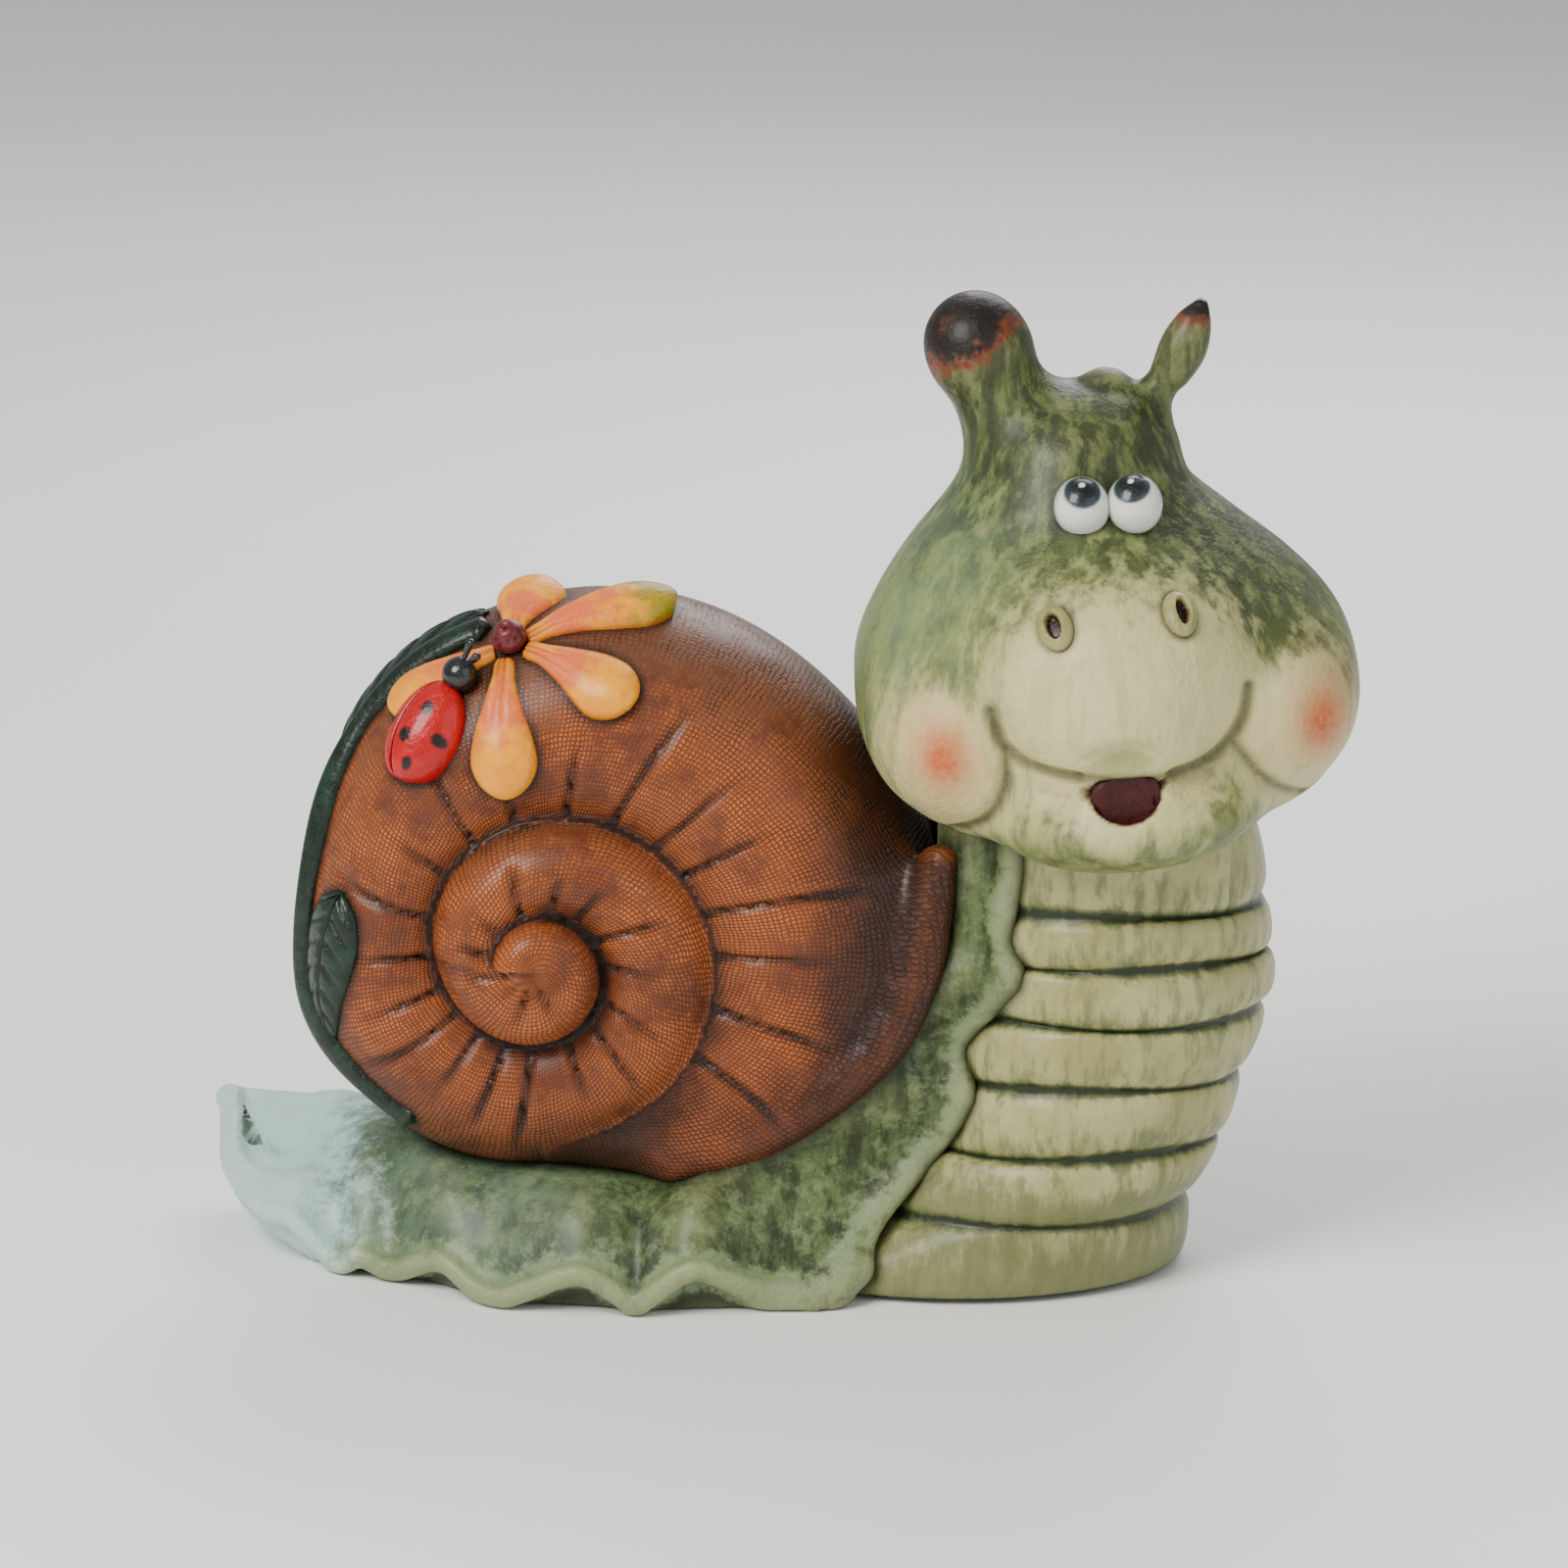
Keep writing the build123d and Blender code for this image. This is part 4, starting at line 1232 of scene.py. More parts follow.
@dataclass(frozen=True)
class CopperGlaze:
    """A copper-brown glaze over clay that was pressed with sacking."""

    pitch: float = 0.0018
    copper: Color = paint(190, 100, 44)
    brown: Color = paint(92, 42, 18)
    # A duller, browner painted sheen on what faces up
    top_sheen: Color = paint(82, 52, 32)
    # The colour of the painted shade, and of the dark in the sacking's print
    shade_and_speckle: Color = paint(22, 9, 4)

    def make(self) -> Material:
        """Mix the glaze."""
        bench = Bench("copper_glaze")
        cloud = bench.noise(24, 6, rough=0.65)
        blotch = bench.noise(85, 6, rough=0.75)
        fine = bench.noise(900, 2)
        sway = (bench.noise(140, 2) - 0.5) * 0.55
        threads = []
        for way in bench.split("weave")[:2]:
            wave = bench.node("Math", {"operation": "SINE"}, {0: (way / self.pitch + sway) * math.pi})
            threads.append(bench.node("Math", {"operation": "ABSOLUTE"}, {0: wave}))
        knot = bench.span(threads[0] * threads[1], 0.02, 0.62)
        print_depth = bench.span(bench.mark("upward_sheen") * -0.35 + blotch * 0.6 + cloud * 0.35, -0.1, 0.65)
        sack = 1 - (1 - knot) * print_depth
        # Painted shade in the hollows, at the shell's mouth, along the sutures and towards the bottom
        dark = bench.mark("recess_shade") * 0.7 + bench.mark("shade") * 0.85 + (blotch - 0.5) * 0.35
        color = bench.coats(
            self.brown,
            (bench.span(cloud * 0.55 + blotch * 0.5, 0.15, 0.85), self.copper),
            # A painted sheen on what faces up
            (bench.span(bench.mark("upward_sheen") + (cloud - 0.5) * 0.5, 0.15, 0.95) * 0.85, self.top_sheen),
            ((1 - sack) * 0.7, self.shade_and_speckle),
            # Painted shade, painted shade in the grooves, a painted highlight on the ridges and painted shade
            # where pieces meet
            (bench.span(dark, 0.1, 0.95) * 0.92, self.shade_and_speckle),
            (bench.mark("groove") * (0.5 + 0.35 * blotch), self.shade_and_speckle),
            (bench.mark("ridge") * 0.35, self.copper),
            (bench.mark("contact_shade") * 0.9, self.shade_and_speckle),
        )
        height = sack * 0.75 + fine * 0.1 + blotch * 0.15
        return bench.finish(color, 0.36 + 0.2 * (1 - sack) + 0.1 * cloud, height, 0.0007, 0.22, 0.28)


@dataclass(frozen=True)
class PetalGlaze:
    """Yellow petals, brushed with pink towards their middle."""

    yellow: Color = paint(246, 160, 0)
    pink: Color = paint(224, 106, 52)
    amber: Color = paint(190, 92, 6)
    lime: Color = paint(120, 128, 20)

    def make(self) -> Material:
        """Mix the glaze."""
        bench = Bench("petal_glaze")
        fine = bench.noise(500, 3)
        cloud = bench.noise(120, 3)
        color = bench.coats(
            self.yellow,
            (cloud * 0.4, self.amber),
            (bench.span(bench.mark("pink") + (cloud - 0.5) * 0.5, 0.2, 0.8), self.pink),
            (bench.span(bench.mark("lime") + (cloud - 0.5) * 0.4, 0.2, 0.9) * 0.8, self.lime),
            # Amber as painted shade in the hollows, and at the root and the edges
            (bench.span(bench.mark("recess_shade") + bench.mark("rim") * 0.7, 0.15, 0.95) * 0.75, self.amber),
        )
        return bench.finish(color, 0.38 + 0.15 * cloud, fine * 0.4 + cloud * 0.6, 0.0004, 0.25, 0.2)


@dataclass(frozen=True)
class PlainGlaze:
    """One glaze with a second colour painted as shade in its hollows and a third brushed over it."""

    name: str
    color: Color
    # The colour of the painted shade in the hollows
    hollow: Color
    brushed: Color
    rough: float = 0.3
    spot: Color = paint(20, 14, 14)
    coat: float = 0.6
    relief: float = 0.0003

    def make(self) -> Material:
        """Mix the glaze."""
        bench = Bench(self.name)
        fine = bench.noise(600, 3)
        cloud = bench.noise(140, 4)
        color = bench.coats(
            self.color,
            (bench.span(cloud, 0.3, 1) * 0.6, self.brushed),
            # Painted shade in the hollows
            (bench.span(bench.mark("recess_shade"), 0.1, 0.8) * 0.85, self.hollow),
            (bench.mark("spot"), self.spot),
        )
        height = fine * 0.5 + cloud * 0.5
        return bench.finish(color, self.rough + 0.12 * cloud, height, self.relief, self.coat, 0.12)


# The snail's parts
@dataclass
class Piece:
    """A finished piece: its object, the nodes that it stands for, its slot and its material."""

    body: Thing
    nodes: Sequence[str]
    slot: str
    material: Material


def hand_in(piece: Piece) -> None:
    """Dress a piece and tie it to the frame."""
    piece.body.data.materials.clear()
    piece.body.data.materials.append(piece.material)
    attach(piece.body, "root")
    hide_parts(*piece.nodes)
    log.info("%s: %d vertices for %s", piece.body.name, len(piece.body.data.vertices), ", ".join(piece.nodes))


@dataclass
class Head:
    """The head with its cheeks, muzzle and mouth, the stalks, the eyes and the nostrils."""

    form: HeadForm = field(default_factory=HeadForm)
    grain: float = 0.0014
    # How far the painted shade reaches where the eyes and nostrils meet the head
    contact_shade: float = 0.0016
    muzzle_start: float = 0.05
    lip_radius: float = 0.0008
    # Pale washes: middle aside and up, half width and half height, then where they thin and end
    washes: tuple = ((0, 0.016, 0.054, 0.048, 0.50, 1.30), (0.060, -0.002, 0.028, 0.035, 0.35, 1.30))
    leaf_heights: tuple = (0.045, 0.085)
    # Where the painted cool highlight lies, across and up
    cool_highlight_places: tuple = (0.015, 0.075)
    cool_highlight_heights: tuple = (0.075, 0.105)
    # Where the painted shade lies on the side away from the light, across and up; then the crown's darker
    # glaze
    dark_places: tuple = (0.022, 0.060)
    dark_heights: tuple = (0.012, 0.045)
    crown_heights: tuple = (0.062, 0.098)
    seam_up: float = 0.1205
    eye_radius: float = 0.0097
    eye_tall: float = 1.08
    eyes: tuple = ((-0.0055, 0.043, 0.0818), (0.0127, 0.043, 0.0808))
    pupil_ways: tuple = ((0.0415, 0.628, 0.777), (-0.095, 0.53, 0.842))
    glint_ways: tuple = ((0.045, 0.50, 0.86), (-0.09, 0.42, 0.90))
    pupil_reach: float = math.radians(42)
    glint_reach: float = math.radians(6)
    nostril_radii: tuple = (0.0061, 0.0087, 0.0042)
    nostril_lift: float = 0.0006
    nostril_tilts: tuple = (math.radians(24), math.radians(-20))
    hole_radii: tuple = (0.0026, 0.0052)
    hole_depth: float = 0.0040
    blush_places: tuple = ((-0.062, 0.0028), (0.0697, 0.0009))
    blush_radii: tuple = (0.0125, 0.0165)
    cap_edge: tuple = (0.0065, -0.0005)

    def base(self) -> Thing:
        """Press together the rough head."""
        form = self.form
        height = form.drop + form.rise

        def skull(along: Points, angle: Points) -> Points:
            """Give the plain head's points."""
            share = 1 - along
            ends = np.minimum(1, np.sin(np.pi * along) / 0.3) ** 0.6
            wide = form.half_width * read(form.body_shares, share, 1) * ends
            deep = form.half_depth * read(form.body_shares, share, 2) * ends
            middle = form.half_width * read(form.body_shares, share, 3)
            up = height * share - form.drop
            return form.world(np.column_stack([middle + wide * np.cos(angle), deep * np.sin(angle), up]))

        lumps = [mould("finished_head", 64, 48, skull)]
        aside, ahead, up = form.cheek
        places = [(-aside, ahead, up), (aside, ahead, up), form.muzzle, form.jaw, form.crown, form.ball]
        radii = [form.cheek_radii] * 2 + [form.muzzle_radii, form.jaw_radii]
        radii += [(form.crown_radius,) * 3, (form.ball_radius,) * 3]
        for place, size in zip(places, radii):
            lumps.append(lump("lump", form.world(place), size, form.axes))
        lumps.append(strand("stalk", form.world(form.ball_line), form.ball_radii))
        lumps.append(strand("stalk", form.world(form.flame_line), form.flame_radii))
        return skin_over("finished_head", lumps, form.form, self.grain)

    def stain(self, piece: Thing, beside: Sequence[Thing]) -> None:
        """Mark where the glazes go on the head and the stalks."""
        form = self.form
        places = form.local(points_of(piece))
        aside, ahead, up = places.T
        front = ramp(ahead, 0.0, 0.030)
        pale = np.zeros(len(places))
        for out, (middle, high, wide, tall, thin, end) in zip((aside, np.abs(aside)), self.washes):
            reach = np.hypot((out - middle) / wide, (up - high) / tall)
            pale = np.maximum(pale, 1 - ramp(reach, thin, end))
        mark(piece, "pale", pale * front)
        mark(piece, "leaf", (1 - ramp(up, *self.leaf_heights)) * 0.9)
        # Painted cool highlight on the lit side, low on the head
        mark(piece, "cool_highlight", ramp(-aside, *self.cool_highlight_places) * (1 - ramp(up, *self.cool_highlight_heights)) * 0.8)
        # Painted shade on the side away from the light, and the crown's darker glaze
        right = ramp(aside + 0.35 * up, *self.dark_places) * ramp(up, *self.dark_heights)
        mark(piece, "dark", np.maximum(right, ramp(up, *self.crown_heights) * 0.85))
        blush = np.zeros(len(places))
        for centre_aside, centre_up in self.blush_places:
            wide, tall = self.blush_radii
            reach = np.hypot((aside - centre_aside) / wide, (up - centre_up) / tall)
            blush = np.maximum(blush, bell(reach, 0.85) * front)
        mark(piece, "blush", blush)
        ball = places - np.array(form.ball)
        edge, lean = self.cap_edge
        right_cap = (ball[:, 2] - 0.42 * ball[:, 0] - lean) / 0.016 + 0.5
        left_cap = (up - 0.134) / 0.012 + 0.5
        cap = np.where(aside < 0.005, right_cap, left_cap) * (up > self.seam_up - edge)
        mark(piece, "cap", np.clip(cap, 0, 1))
        level = form.mouth_form(places)
        mark(piece, "mouth", 1 - ramp(level, 0.0004, 0.0011))
        # Painted shade in the creases
        creases = np.full(len(places), 1.0)
        flat = places * (1, 0, 1)
        for name, share in form.crease_shares:
            line = form.lines[name] * (1, 0, 1)
            creases = np.minimum(creases, rope(flat, line, np.full(len(line), form.crease * share)))
        mark(piece, "line", (1 - ramp(creases, -0.0022, 0.0008)) * (ahead > form.line_front))
        # A painted highlight along the lip's arch
        on_muzzle = ahead > self.muzzle_start
        arch = form.lines["arch"] * (1, 0, 1)
        lip = rope(flat, arch, np.full(len(arch), self.lip_radius))
        mark(piece, "lip", (1 - ramp(lip, 0, 2 * self.lip_radius)) * on_muzzle)
        # Painted shade in the scoop under the lip
        wide, _, tall = form.scoop_radii
        scoop = np.hypot((aside - form.scoop[0]) / wide, (up - form.scoop[1]) / tall)
        mark(piece, "scoop", (1 - ramp(scoop, 0.25, 1.1)) * on_muzzle)
        # Painted shade in the hollows and where the eyes and nostrils meet the head
        mark_relief(piece, 14, 0.0016)
        mark_contact_shade(piece, beside, self.contact_shade)

    def make(self) -> Made:
        """Model the head and what it carries."""
        form = self.form
        whole = self.base()
        eyes = [self.eye(number) for number in range(2)]
        nostrils = [self.nostril(number) for number in range(2)]
        self.stain(whole, eyes + nostrils)
        seam = form.world((0, 0, self.seam_up))
        up, aside = form.axes[2], form.axes[0]
        stalk_right = copy_of(whole, "finished_stalk_right")
        stalk_left = copy_of(whole, "finished_stalk_left")
        keep_side(whole, seam, up)
        middle = form.world((0, 0, form.rise))
        for stalk, way in ((stalk_right, 1), (stalk_left, -1)):
            keep_side(stalk, seam, -up)
            keep_side(stalk, middle, way * aside)
        pieces = [(whole, ["head"], "mossy_clay")]
        pieces += [(stalk_right, ["stalk_right"], "mossy_clay"), (stalk_left, ["stalk_left"], "mossy_clay")]
        for hand, eye, nostril in zip(("right", "left"), eyes, nostrils):
            pieces.append((eye, ["eye_" + hand], "white_glaze"))
            pieces.append((nostril, ["nostril_" + hand], "cream_clay"))
        return smooth_off(pieces)

    def eye(self, number: int) -> Thing:
        """Roll an eyeball and paint its pupil."""
        hand = ("right", "left")[number]
        ball = add_sphere("finished_eye_" + hand, 64, 48)
        ways = points_of(ball)
        dent = 0.03 * bell(ways[:, 2] + 0.6, 0.4) * bell(ways[:, 0], 0.5)
        sizes = np.array([1, 1, self.eye_tall]) * self.eye_radius
        place_points(ball, self.form.world(np.array(self.eyes[number]) + ways * (1 - dent)[:, None] * sizes))
        look = self.way_to(ways, self.pupil_ways[number])
        shine = self.way_to(ways, self.glint_ways[number])
        mark(ball, "pupil", 1 - ramp(look, self.pupil_reach - 0.06, self.pupil_reach + 0.04))
        mark(ball, "deep", 1 - ramp(look, self.pupil_reach * 0.45, self.pupil_reach * 1.05))
        mark(ball, "glint", 1 - ramp(shine, self.glint_reach - 0.03, self.glint_reach + 0.03))
        # Painted shade round the eyeball's rim, where it turns away and meets the head
        mark(ball, "rim_shade", ramp(self.way_to(ways, (0.0, 1.0, 0.15)), 1.05, 1.5))
        return ball

    def way_to(self, ways: Points, way: Sequence[float]) -> Points:
        """Tell the angles between directions and one way."""
        return np.arccos(np.clip(ways @ unit(np.array(way)), -1, 1))

    def nostril(self, number: int) -> Thing:
        """Press a small ring with a slanting hole on the muzzle."""
        form = self.form
        hand = ("right", "left")[number]
        ring = add_sphere("finished_nostril_" + hand, 64, 40)
        ways = points_of(ring)
        aside, up = form.nostrils[number]
        places = np.array([(aside, 0, up), (aside + LOOK, 0, up), (aside, 0, up + LOOK)])
        places[:, 1] = form.front(places[:, 0], places[:, 2])
        side, over = places[1] - places[0], places[2] - places[0]
        out = np.cross(over, side)
        side, out = unit(side), unit(out)
        over = np.cross(side, out)
        tilt = self.nostril_tilts[number]
        slant_side = side * math.cos(tilt) + over * math.sin(tilt)
        slant_over = over * math.cos(tilt) - side * math.sin(tilt)
        flat = ways * np.array(self.nostril_radii)
        reach = np.hypot(flat[:, 0] / self.hole_radii[0], flat[:, 1] / self.hole_radii[1])
        dip = (1 - ramp(reach, 0.70, 1.15)) * (ways[:, 2] > 0)
        flat[:, 2] -= dip * self.hole_depth
        frame_rows = np.array([slant_side, slant_over, out])
        place_points(ring, form.world(places[0] + out * self.nostril_lift + flat @ frame_rows))
        face_outwards(ring)
        mark(ring, "hole", 1 - ramp(reach, 0.86, 1.02))
        return ring


@dataclass
class Body:
    """The foot with its ruffled edge, the mantle with its frills, and the neck's rolls."""

    form: SkinForm = field(default_factory=SkinForm)
    grain: float = 0.0019
    seam_place: tuple = (0.0035, 0, 0.0460)
    seam_way: tuple = (0.527, 0, 0.850)
    neck_height: float = 0.172
    neck_shift: float = -0.010
    neck_lean: float = 0.150
    neck_half_width: float = 0.053
    rib_depth: float = 0.0046
    rib_fullness: float = 2.6
    rib_sway: float = 0.12
    ring_tip: float = 0.10
    steps: int = 10
    sides: int = 120
    groove_shares: tuple = (
        (0.000, 0.61, 1.55, 1.08),
        (0.142, 0.79, 1.09, 1.07),
        (0.276, 0.89, 1.02, 1.00),
        (0.420, 0.95, 1.00, 0.99),
        (0.557, 0.99, 1.02, 1.01),
        (0.680, 1.00, 1.01, 1.00),
        (0.788, 1.00, 1.00, 1.00),
        (1.000, 1.00, 0.88, 0.78),
    )

    def base(self) -> Thing:
        """Press together the rough foot and mantle."""
        form = self.form

        def slab(along: Points, angle: Points) -> Points:
            """Give the foot's points."""
            spot = form.tail + 0.003 + (form.front - form.tail - 0.005) * along
            near, far = read(form.near_edge, spot, 1), read(form.far_edge, spot, 1)
            near_lift, far_lift = read(form.near_edge, spot, 2), read(form.far_edge, spot, 2)
            ends = np.minimum(1, np.sin(np.pi * along) / 0.2) ** 0.5
            across = (near + far) / 2 + (far - near) / 2 * np.cos(angle) * ends
            side = np.cos(angle)
            lift = np.where(side > 0, far_lift, near_lift) * np.abs(side) ** 3
            low = np.maximum(lift, read(form.back_rise, spot, 2)) - 0.003
            top = read(form.back_rise, spot, 1) * np.sqrt(1 - side * side) * ends + lift + 0.004
            return np.column_stack([spot, across, np.where(np.sin(angle) > 0, top, low)])

        def wall(along: Points, angle: Points) -> Points:
            """Give the mantle's points."""
            up = form.mantle[-1][0] * (1 - along)
            front, side, back, back_side = (read(form.mantle, up, column) for column in range(1, 5))
            ends = np.minimum(1, np.sin(np.pi * along) / 0.15) ** 0.5
            way = np.sign(np.cos(angle)) * np.abs(np.cos(angle)) ** 0.4
            turn = np.sign(np.sin(angle)) * np.abs(np.sin(angle)) ** 0.4
            middle = (front + back) / 2
            width = (side + back_side) / 2 + (side - back_side) / 2 * way
            return np.column_stack([middle + (front - back) / 2 * way * ends, width * turn * ends, up])

        lumps = [mould("finished_foot", 96, 120, slab), mould("wall", 64, 64, wall)]
        for line in form.edge_lines:
            lumps.append(strand("edge", line, np.full(len(line), form.rim)))
        for line in form.frill_lines:
            lumps.append(strand("frill", line, np.full(len(line), form.frill)))
        return skin_over("finished_foot", lumps, form.form, self.grain)

    def stain(self, piece: Thing, beside: Sequence[Thing]) -> None:
        """Mark where the glazes go on the foot and the mantle."""
        form = self.form
        points = points_of(piece)
        along, across, up = points.T
        edge = np.full(len(points), 1.0)
        for line in form.edge_lines + form.frill_lines:
            edge = np.minimum(edge, rope(points, line[::2], np.full(len(line[::2]), form.rim)))
        mark(piece, "pale", bell(np.maximum(edge, 0), np.where(up > 0.035, 0.0032, 0.0060)) * 0.95)
        # Painted shade under the lifted edges
        near = across - read(form.near_edge, along, 1)
        far = read(form.far_edge, along, 1) - across
        lift = np.where(near < far, read(form.near_edge, along, 2), read(form.far_edge, along, 2))
        low = 1 - ramp(up - lift + form.rim, -0.001, 0.001)
        mark(piece, "under", low * (1 - ramp(np.minimum(near, far), 0.006, 0.016)))
        # A painted pale highlight on the tail, and a painted cool highlight towards it
        mark(piece, "ice", 1 - ramp(along, -0.150, -0.085))
        mark(piece, "cool_highlight", 1 - ramp(along, -0.120, 0.02))
        # Painted shade in the hollows and where the foot meets the neck and the shell
        mark_relief(piece, 22, 0.0030)
        mark_contact_shade(piece, beside, 0.0035)

    def neck(self) -> Thing:
        """Draw the neck up ring by ring, a roll of clay between each two grooves."""
        rows = self.groove_shares
        rings, swells = [], []
        for number, (below, above) in enumerate(zip(rows, rows[1:])):
            for step in range(self.steps):
                part = step / self.steps
                share = below[0] + (above[0] - below[0]) * part
                rings.append(share)
                swell = math.sqrt(max(0, 1 - abs(2 * part - 1) ** self.rib_fullness))
                swells.append(swell * (1 + self.rib_sway * math.sin(number * 2.1)))
        rings.append(rows[-1][0])
        swells.append(0.0)
        bpy.ops.object.select_all(action="DESELECT")
        bpy.ops.mesh.primitive_circle_add(vertices=self.sides, radius=1, fill_type="NGON")
        neck = bpy.context.object
        neck.name = "finished_neck"
        lift = self.neck_height / len(rings)
        with all_in_hand(neck):
            for _ in rings[1:]:
                bpy.ops.mesh.extrude_region_move(TRANSFORM_OT_translate={"value": (0, 0, lift)})
        points = points_of(neck)
        ring = np.rint(points[:, 2] / lift).astype(int)
        share, swell = np.array(rings)[ring], np.array(swells)[ring]
        part = ring / self.steps % 1
        mark(neck, "groove", bell(np.minimum(part, 1 - part), 0.085))
        mark(neck, "moss", (1 - ramp(share, 0.10, 0.36)) * 0.8 + 0.45 * (1 - ramp(part, 0.2, 0.7)))
        angle = np.arctan2(points[:, 1], points[:, 0])
        centre = self.neck_lean * read(rows, share, 1)
        uneven = 1 + 0.12 * np.sin(2 * angle + ring / self.steps * 1.7)
        puff = swell * self.rib_depth * uneven
        length = self.neck_half_width * read(rows, share, 2) + puff
        width = self.neck_half_width * read(rows, share, 3) + puff
        wave = 0.0012 * np.sin(3 * angle + ring // self.steps * 2.2)
        tip = (-self.ring_tip * width * np.sin(angle) + wave) * ramp(share, 0, 0.2)
        up = self.neck_height * share + tip
        side = width * np.sin(angle) + self.neck_shift * ramp(share, 0.82, 1)
        place_points(neck, np.column_stack([centre + length * np.cos(angle), side, up]))
        face_outwards(neck)
        apply(neck, "SUBSURF", levels=1, render_levels=1)
        return neck

    def make(self, beside: Sequence[Thing]) -> Made:
        """Model the foot, the mantle and the neck.

        Args:
            beside: The pieces that lie against them.

        Returns:
            Each object with its nodes and its slot.
        """
        whole = self.base()
        neck = self.neck()
        self.stain(whole, [neck, *beside])
        mantle = copy_of(whole, "finished_mantle")
        keep_side(whole, self.seam_place, self.seam_way)
        keep_side(mantle, self.seam_place, [-value for value in self.seam_way])
        # Painted shade in the neck's hollows and where it meets the foot, the mantle and the shell
        mark_relief(neck, 12, 0.0018)
        mark_contact_shade(neck, [whole, mantle, *beside], 0.0025)
        pieces = [(whole, ["foot"], "mossy_clay"), (mantle, ["mantle"], "mossy_clay")]
        return smooth_off(pieces + [(neck, ["ribbed_neck"], "cream_clay")])


@dataclass
class Shell:
    """The coiled shell and the rolled lips of its mouth."""

    form: ShellForm = field(default_factory=ShellForm)
    grain: float = 0.0017
    turn_step: int = 15
    # Between these heights, what faces up gets a painted sheen
    sheen_heights: tuple = (0.10, 0.20)

    def tube(self, first: int, last: int, hand: int) -> Thing:
        """Roll a stretch of the coil, from one turn to another, on one hand or in the middle."""
        form = self.form

        def place(along: Points, angle: Points) -> Points:
            """Give the roll's points."""
            turn = first + (last - first) * along
            middle, half, deep, side = form.roll(turn)
            ends = np.minimum(1, np.sin(np.pi * along) / 0.06) ** 0.5
            away = middle + half * np.cos(angle) * ends
            around = np.radians(turn)
            x, _, z = form.centre
            across = hand * (side + deep * np.sin(angle) * ends)
            return np.column_stack([x - away * np.cos(around), across, z + away * np.sin(around)])

        return mould("roll", 32, (last - first) // self.turn_step * 3, place)

    def weave(self, piece: Thing, extra: float = 0) -> None:
        """Mark how the sacking lay on the shell, its painted sheen on top, and its painted shade, with some
        extra shade.
        """
        form = self.form
        points = points_of(piece)
        where = form.nearest(points)
        turn = where["turn"]
        steps = np.arange(0, form.last_turn + 1, 3.0)
        middle, half, deep, _ = form.roll(steps)
        walked = np.concatenate([[0], np.cumsum(np.radians(3.0) * (middle[1:] + half[1:] * 0.5))])
        around = where["lean"] * np.interp(turn, steps, np.sqrt(half * deep))
        mark(piece, "weave", np.column_stack([np.interp(turn, steps, walked), around, where["share"]]))
        # Painted sheen on what faces up
        upward_sheen = np.clip(points_of(piece, "normal")[:, 2], 0, 1)
        mark(piece, "upward_sheen", upward_sheen * ramp(points[:, 2], *self.sheen_heights))
        # The grooves, which the finish paints as shade
        mark(piece, "groove", form.groove(where))
        # Painted shade at the shell's mouth, along the sutures and their edges, and towards the bottom
        mouth = ramp(points[:, 0], 0.018, 0.078) * (1 - 0.5 * ramp(points[:, 2], 0.19, 0.24))
        seam = bell(np.maximum(where["share"], 0), 0.20) * (np.abs(where["share"]) < 1)
        edge = ramp(where["share"], 0.82, 1.0) * (turn < 640)
        bottom = 0.8 * (1 - ramp(points[:, 2], 0.035, 0.105))
        shade = np.maximum(mouth, seam * 0.45) + 0.25 * edge + bottom + extra
        mark(piece, "shade", np.clip(shade, 0, 1))

    def make(self) -> Made:
        """Model the shell and its lips."""
        form = self.form
        lumps = [self.tube(0, 705, hand) for hand in (1, -1)]
        lumps[0].name = "finished_shell"
        lumps.append(self.tube(585, 990, 1))
        core = form.core_share * form.full_reach
        lumps.append(lump("core", form.centre, (core, form.half_depth, core)))
        knob = float(form.reach(0.0))
        for hand in (-1, 1):
            across = hand * (form.half_depth + form.spire_rise - knob)
            lumps.append(lump("knob", (form.centre[0], across, form.centre[2]), (knob,) * 3))
        for hand in (-1, 1):
            line, radii = form.lip(hand)
            lumps.append(strand("web", line, radii * 2))
        shell = skin_over("finished_shell", lumps, form.form, self.grain)
        self.weave(shell)
        mark_relief(shell, 14, 0.0018)
        pieces = [(shell, ["shell"], "copper_clay")]
        for hand, name in ((-1, "right"), (1, "left")):
            lip = strand("finished_shell_lip_" + name, *form.lip(hand), 32)
            self.weave(lip, 0.3)
            mark_relief(lip, 6, 0.0018)
            pieces.append((lip, ["shell_lip_" + name], "copper_clay"))
        return smooth_off(pieces)


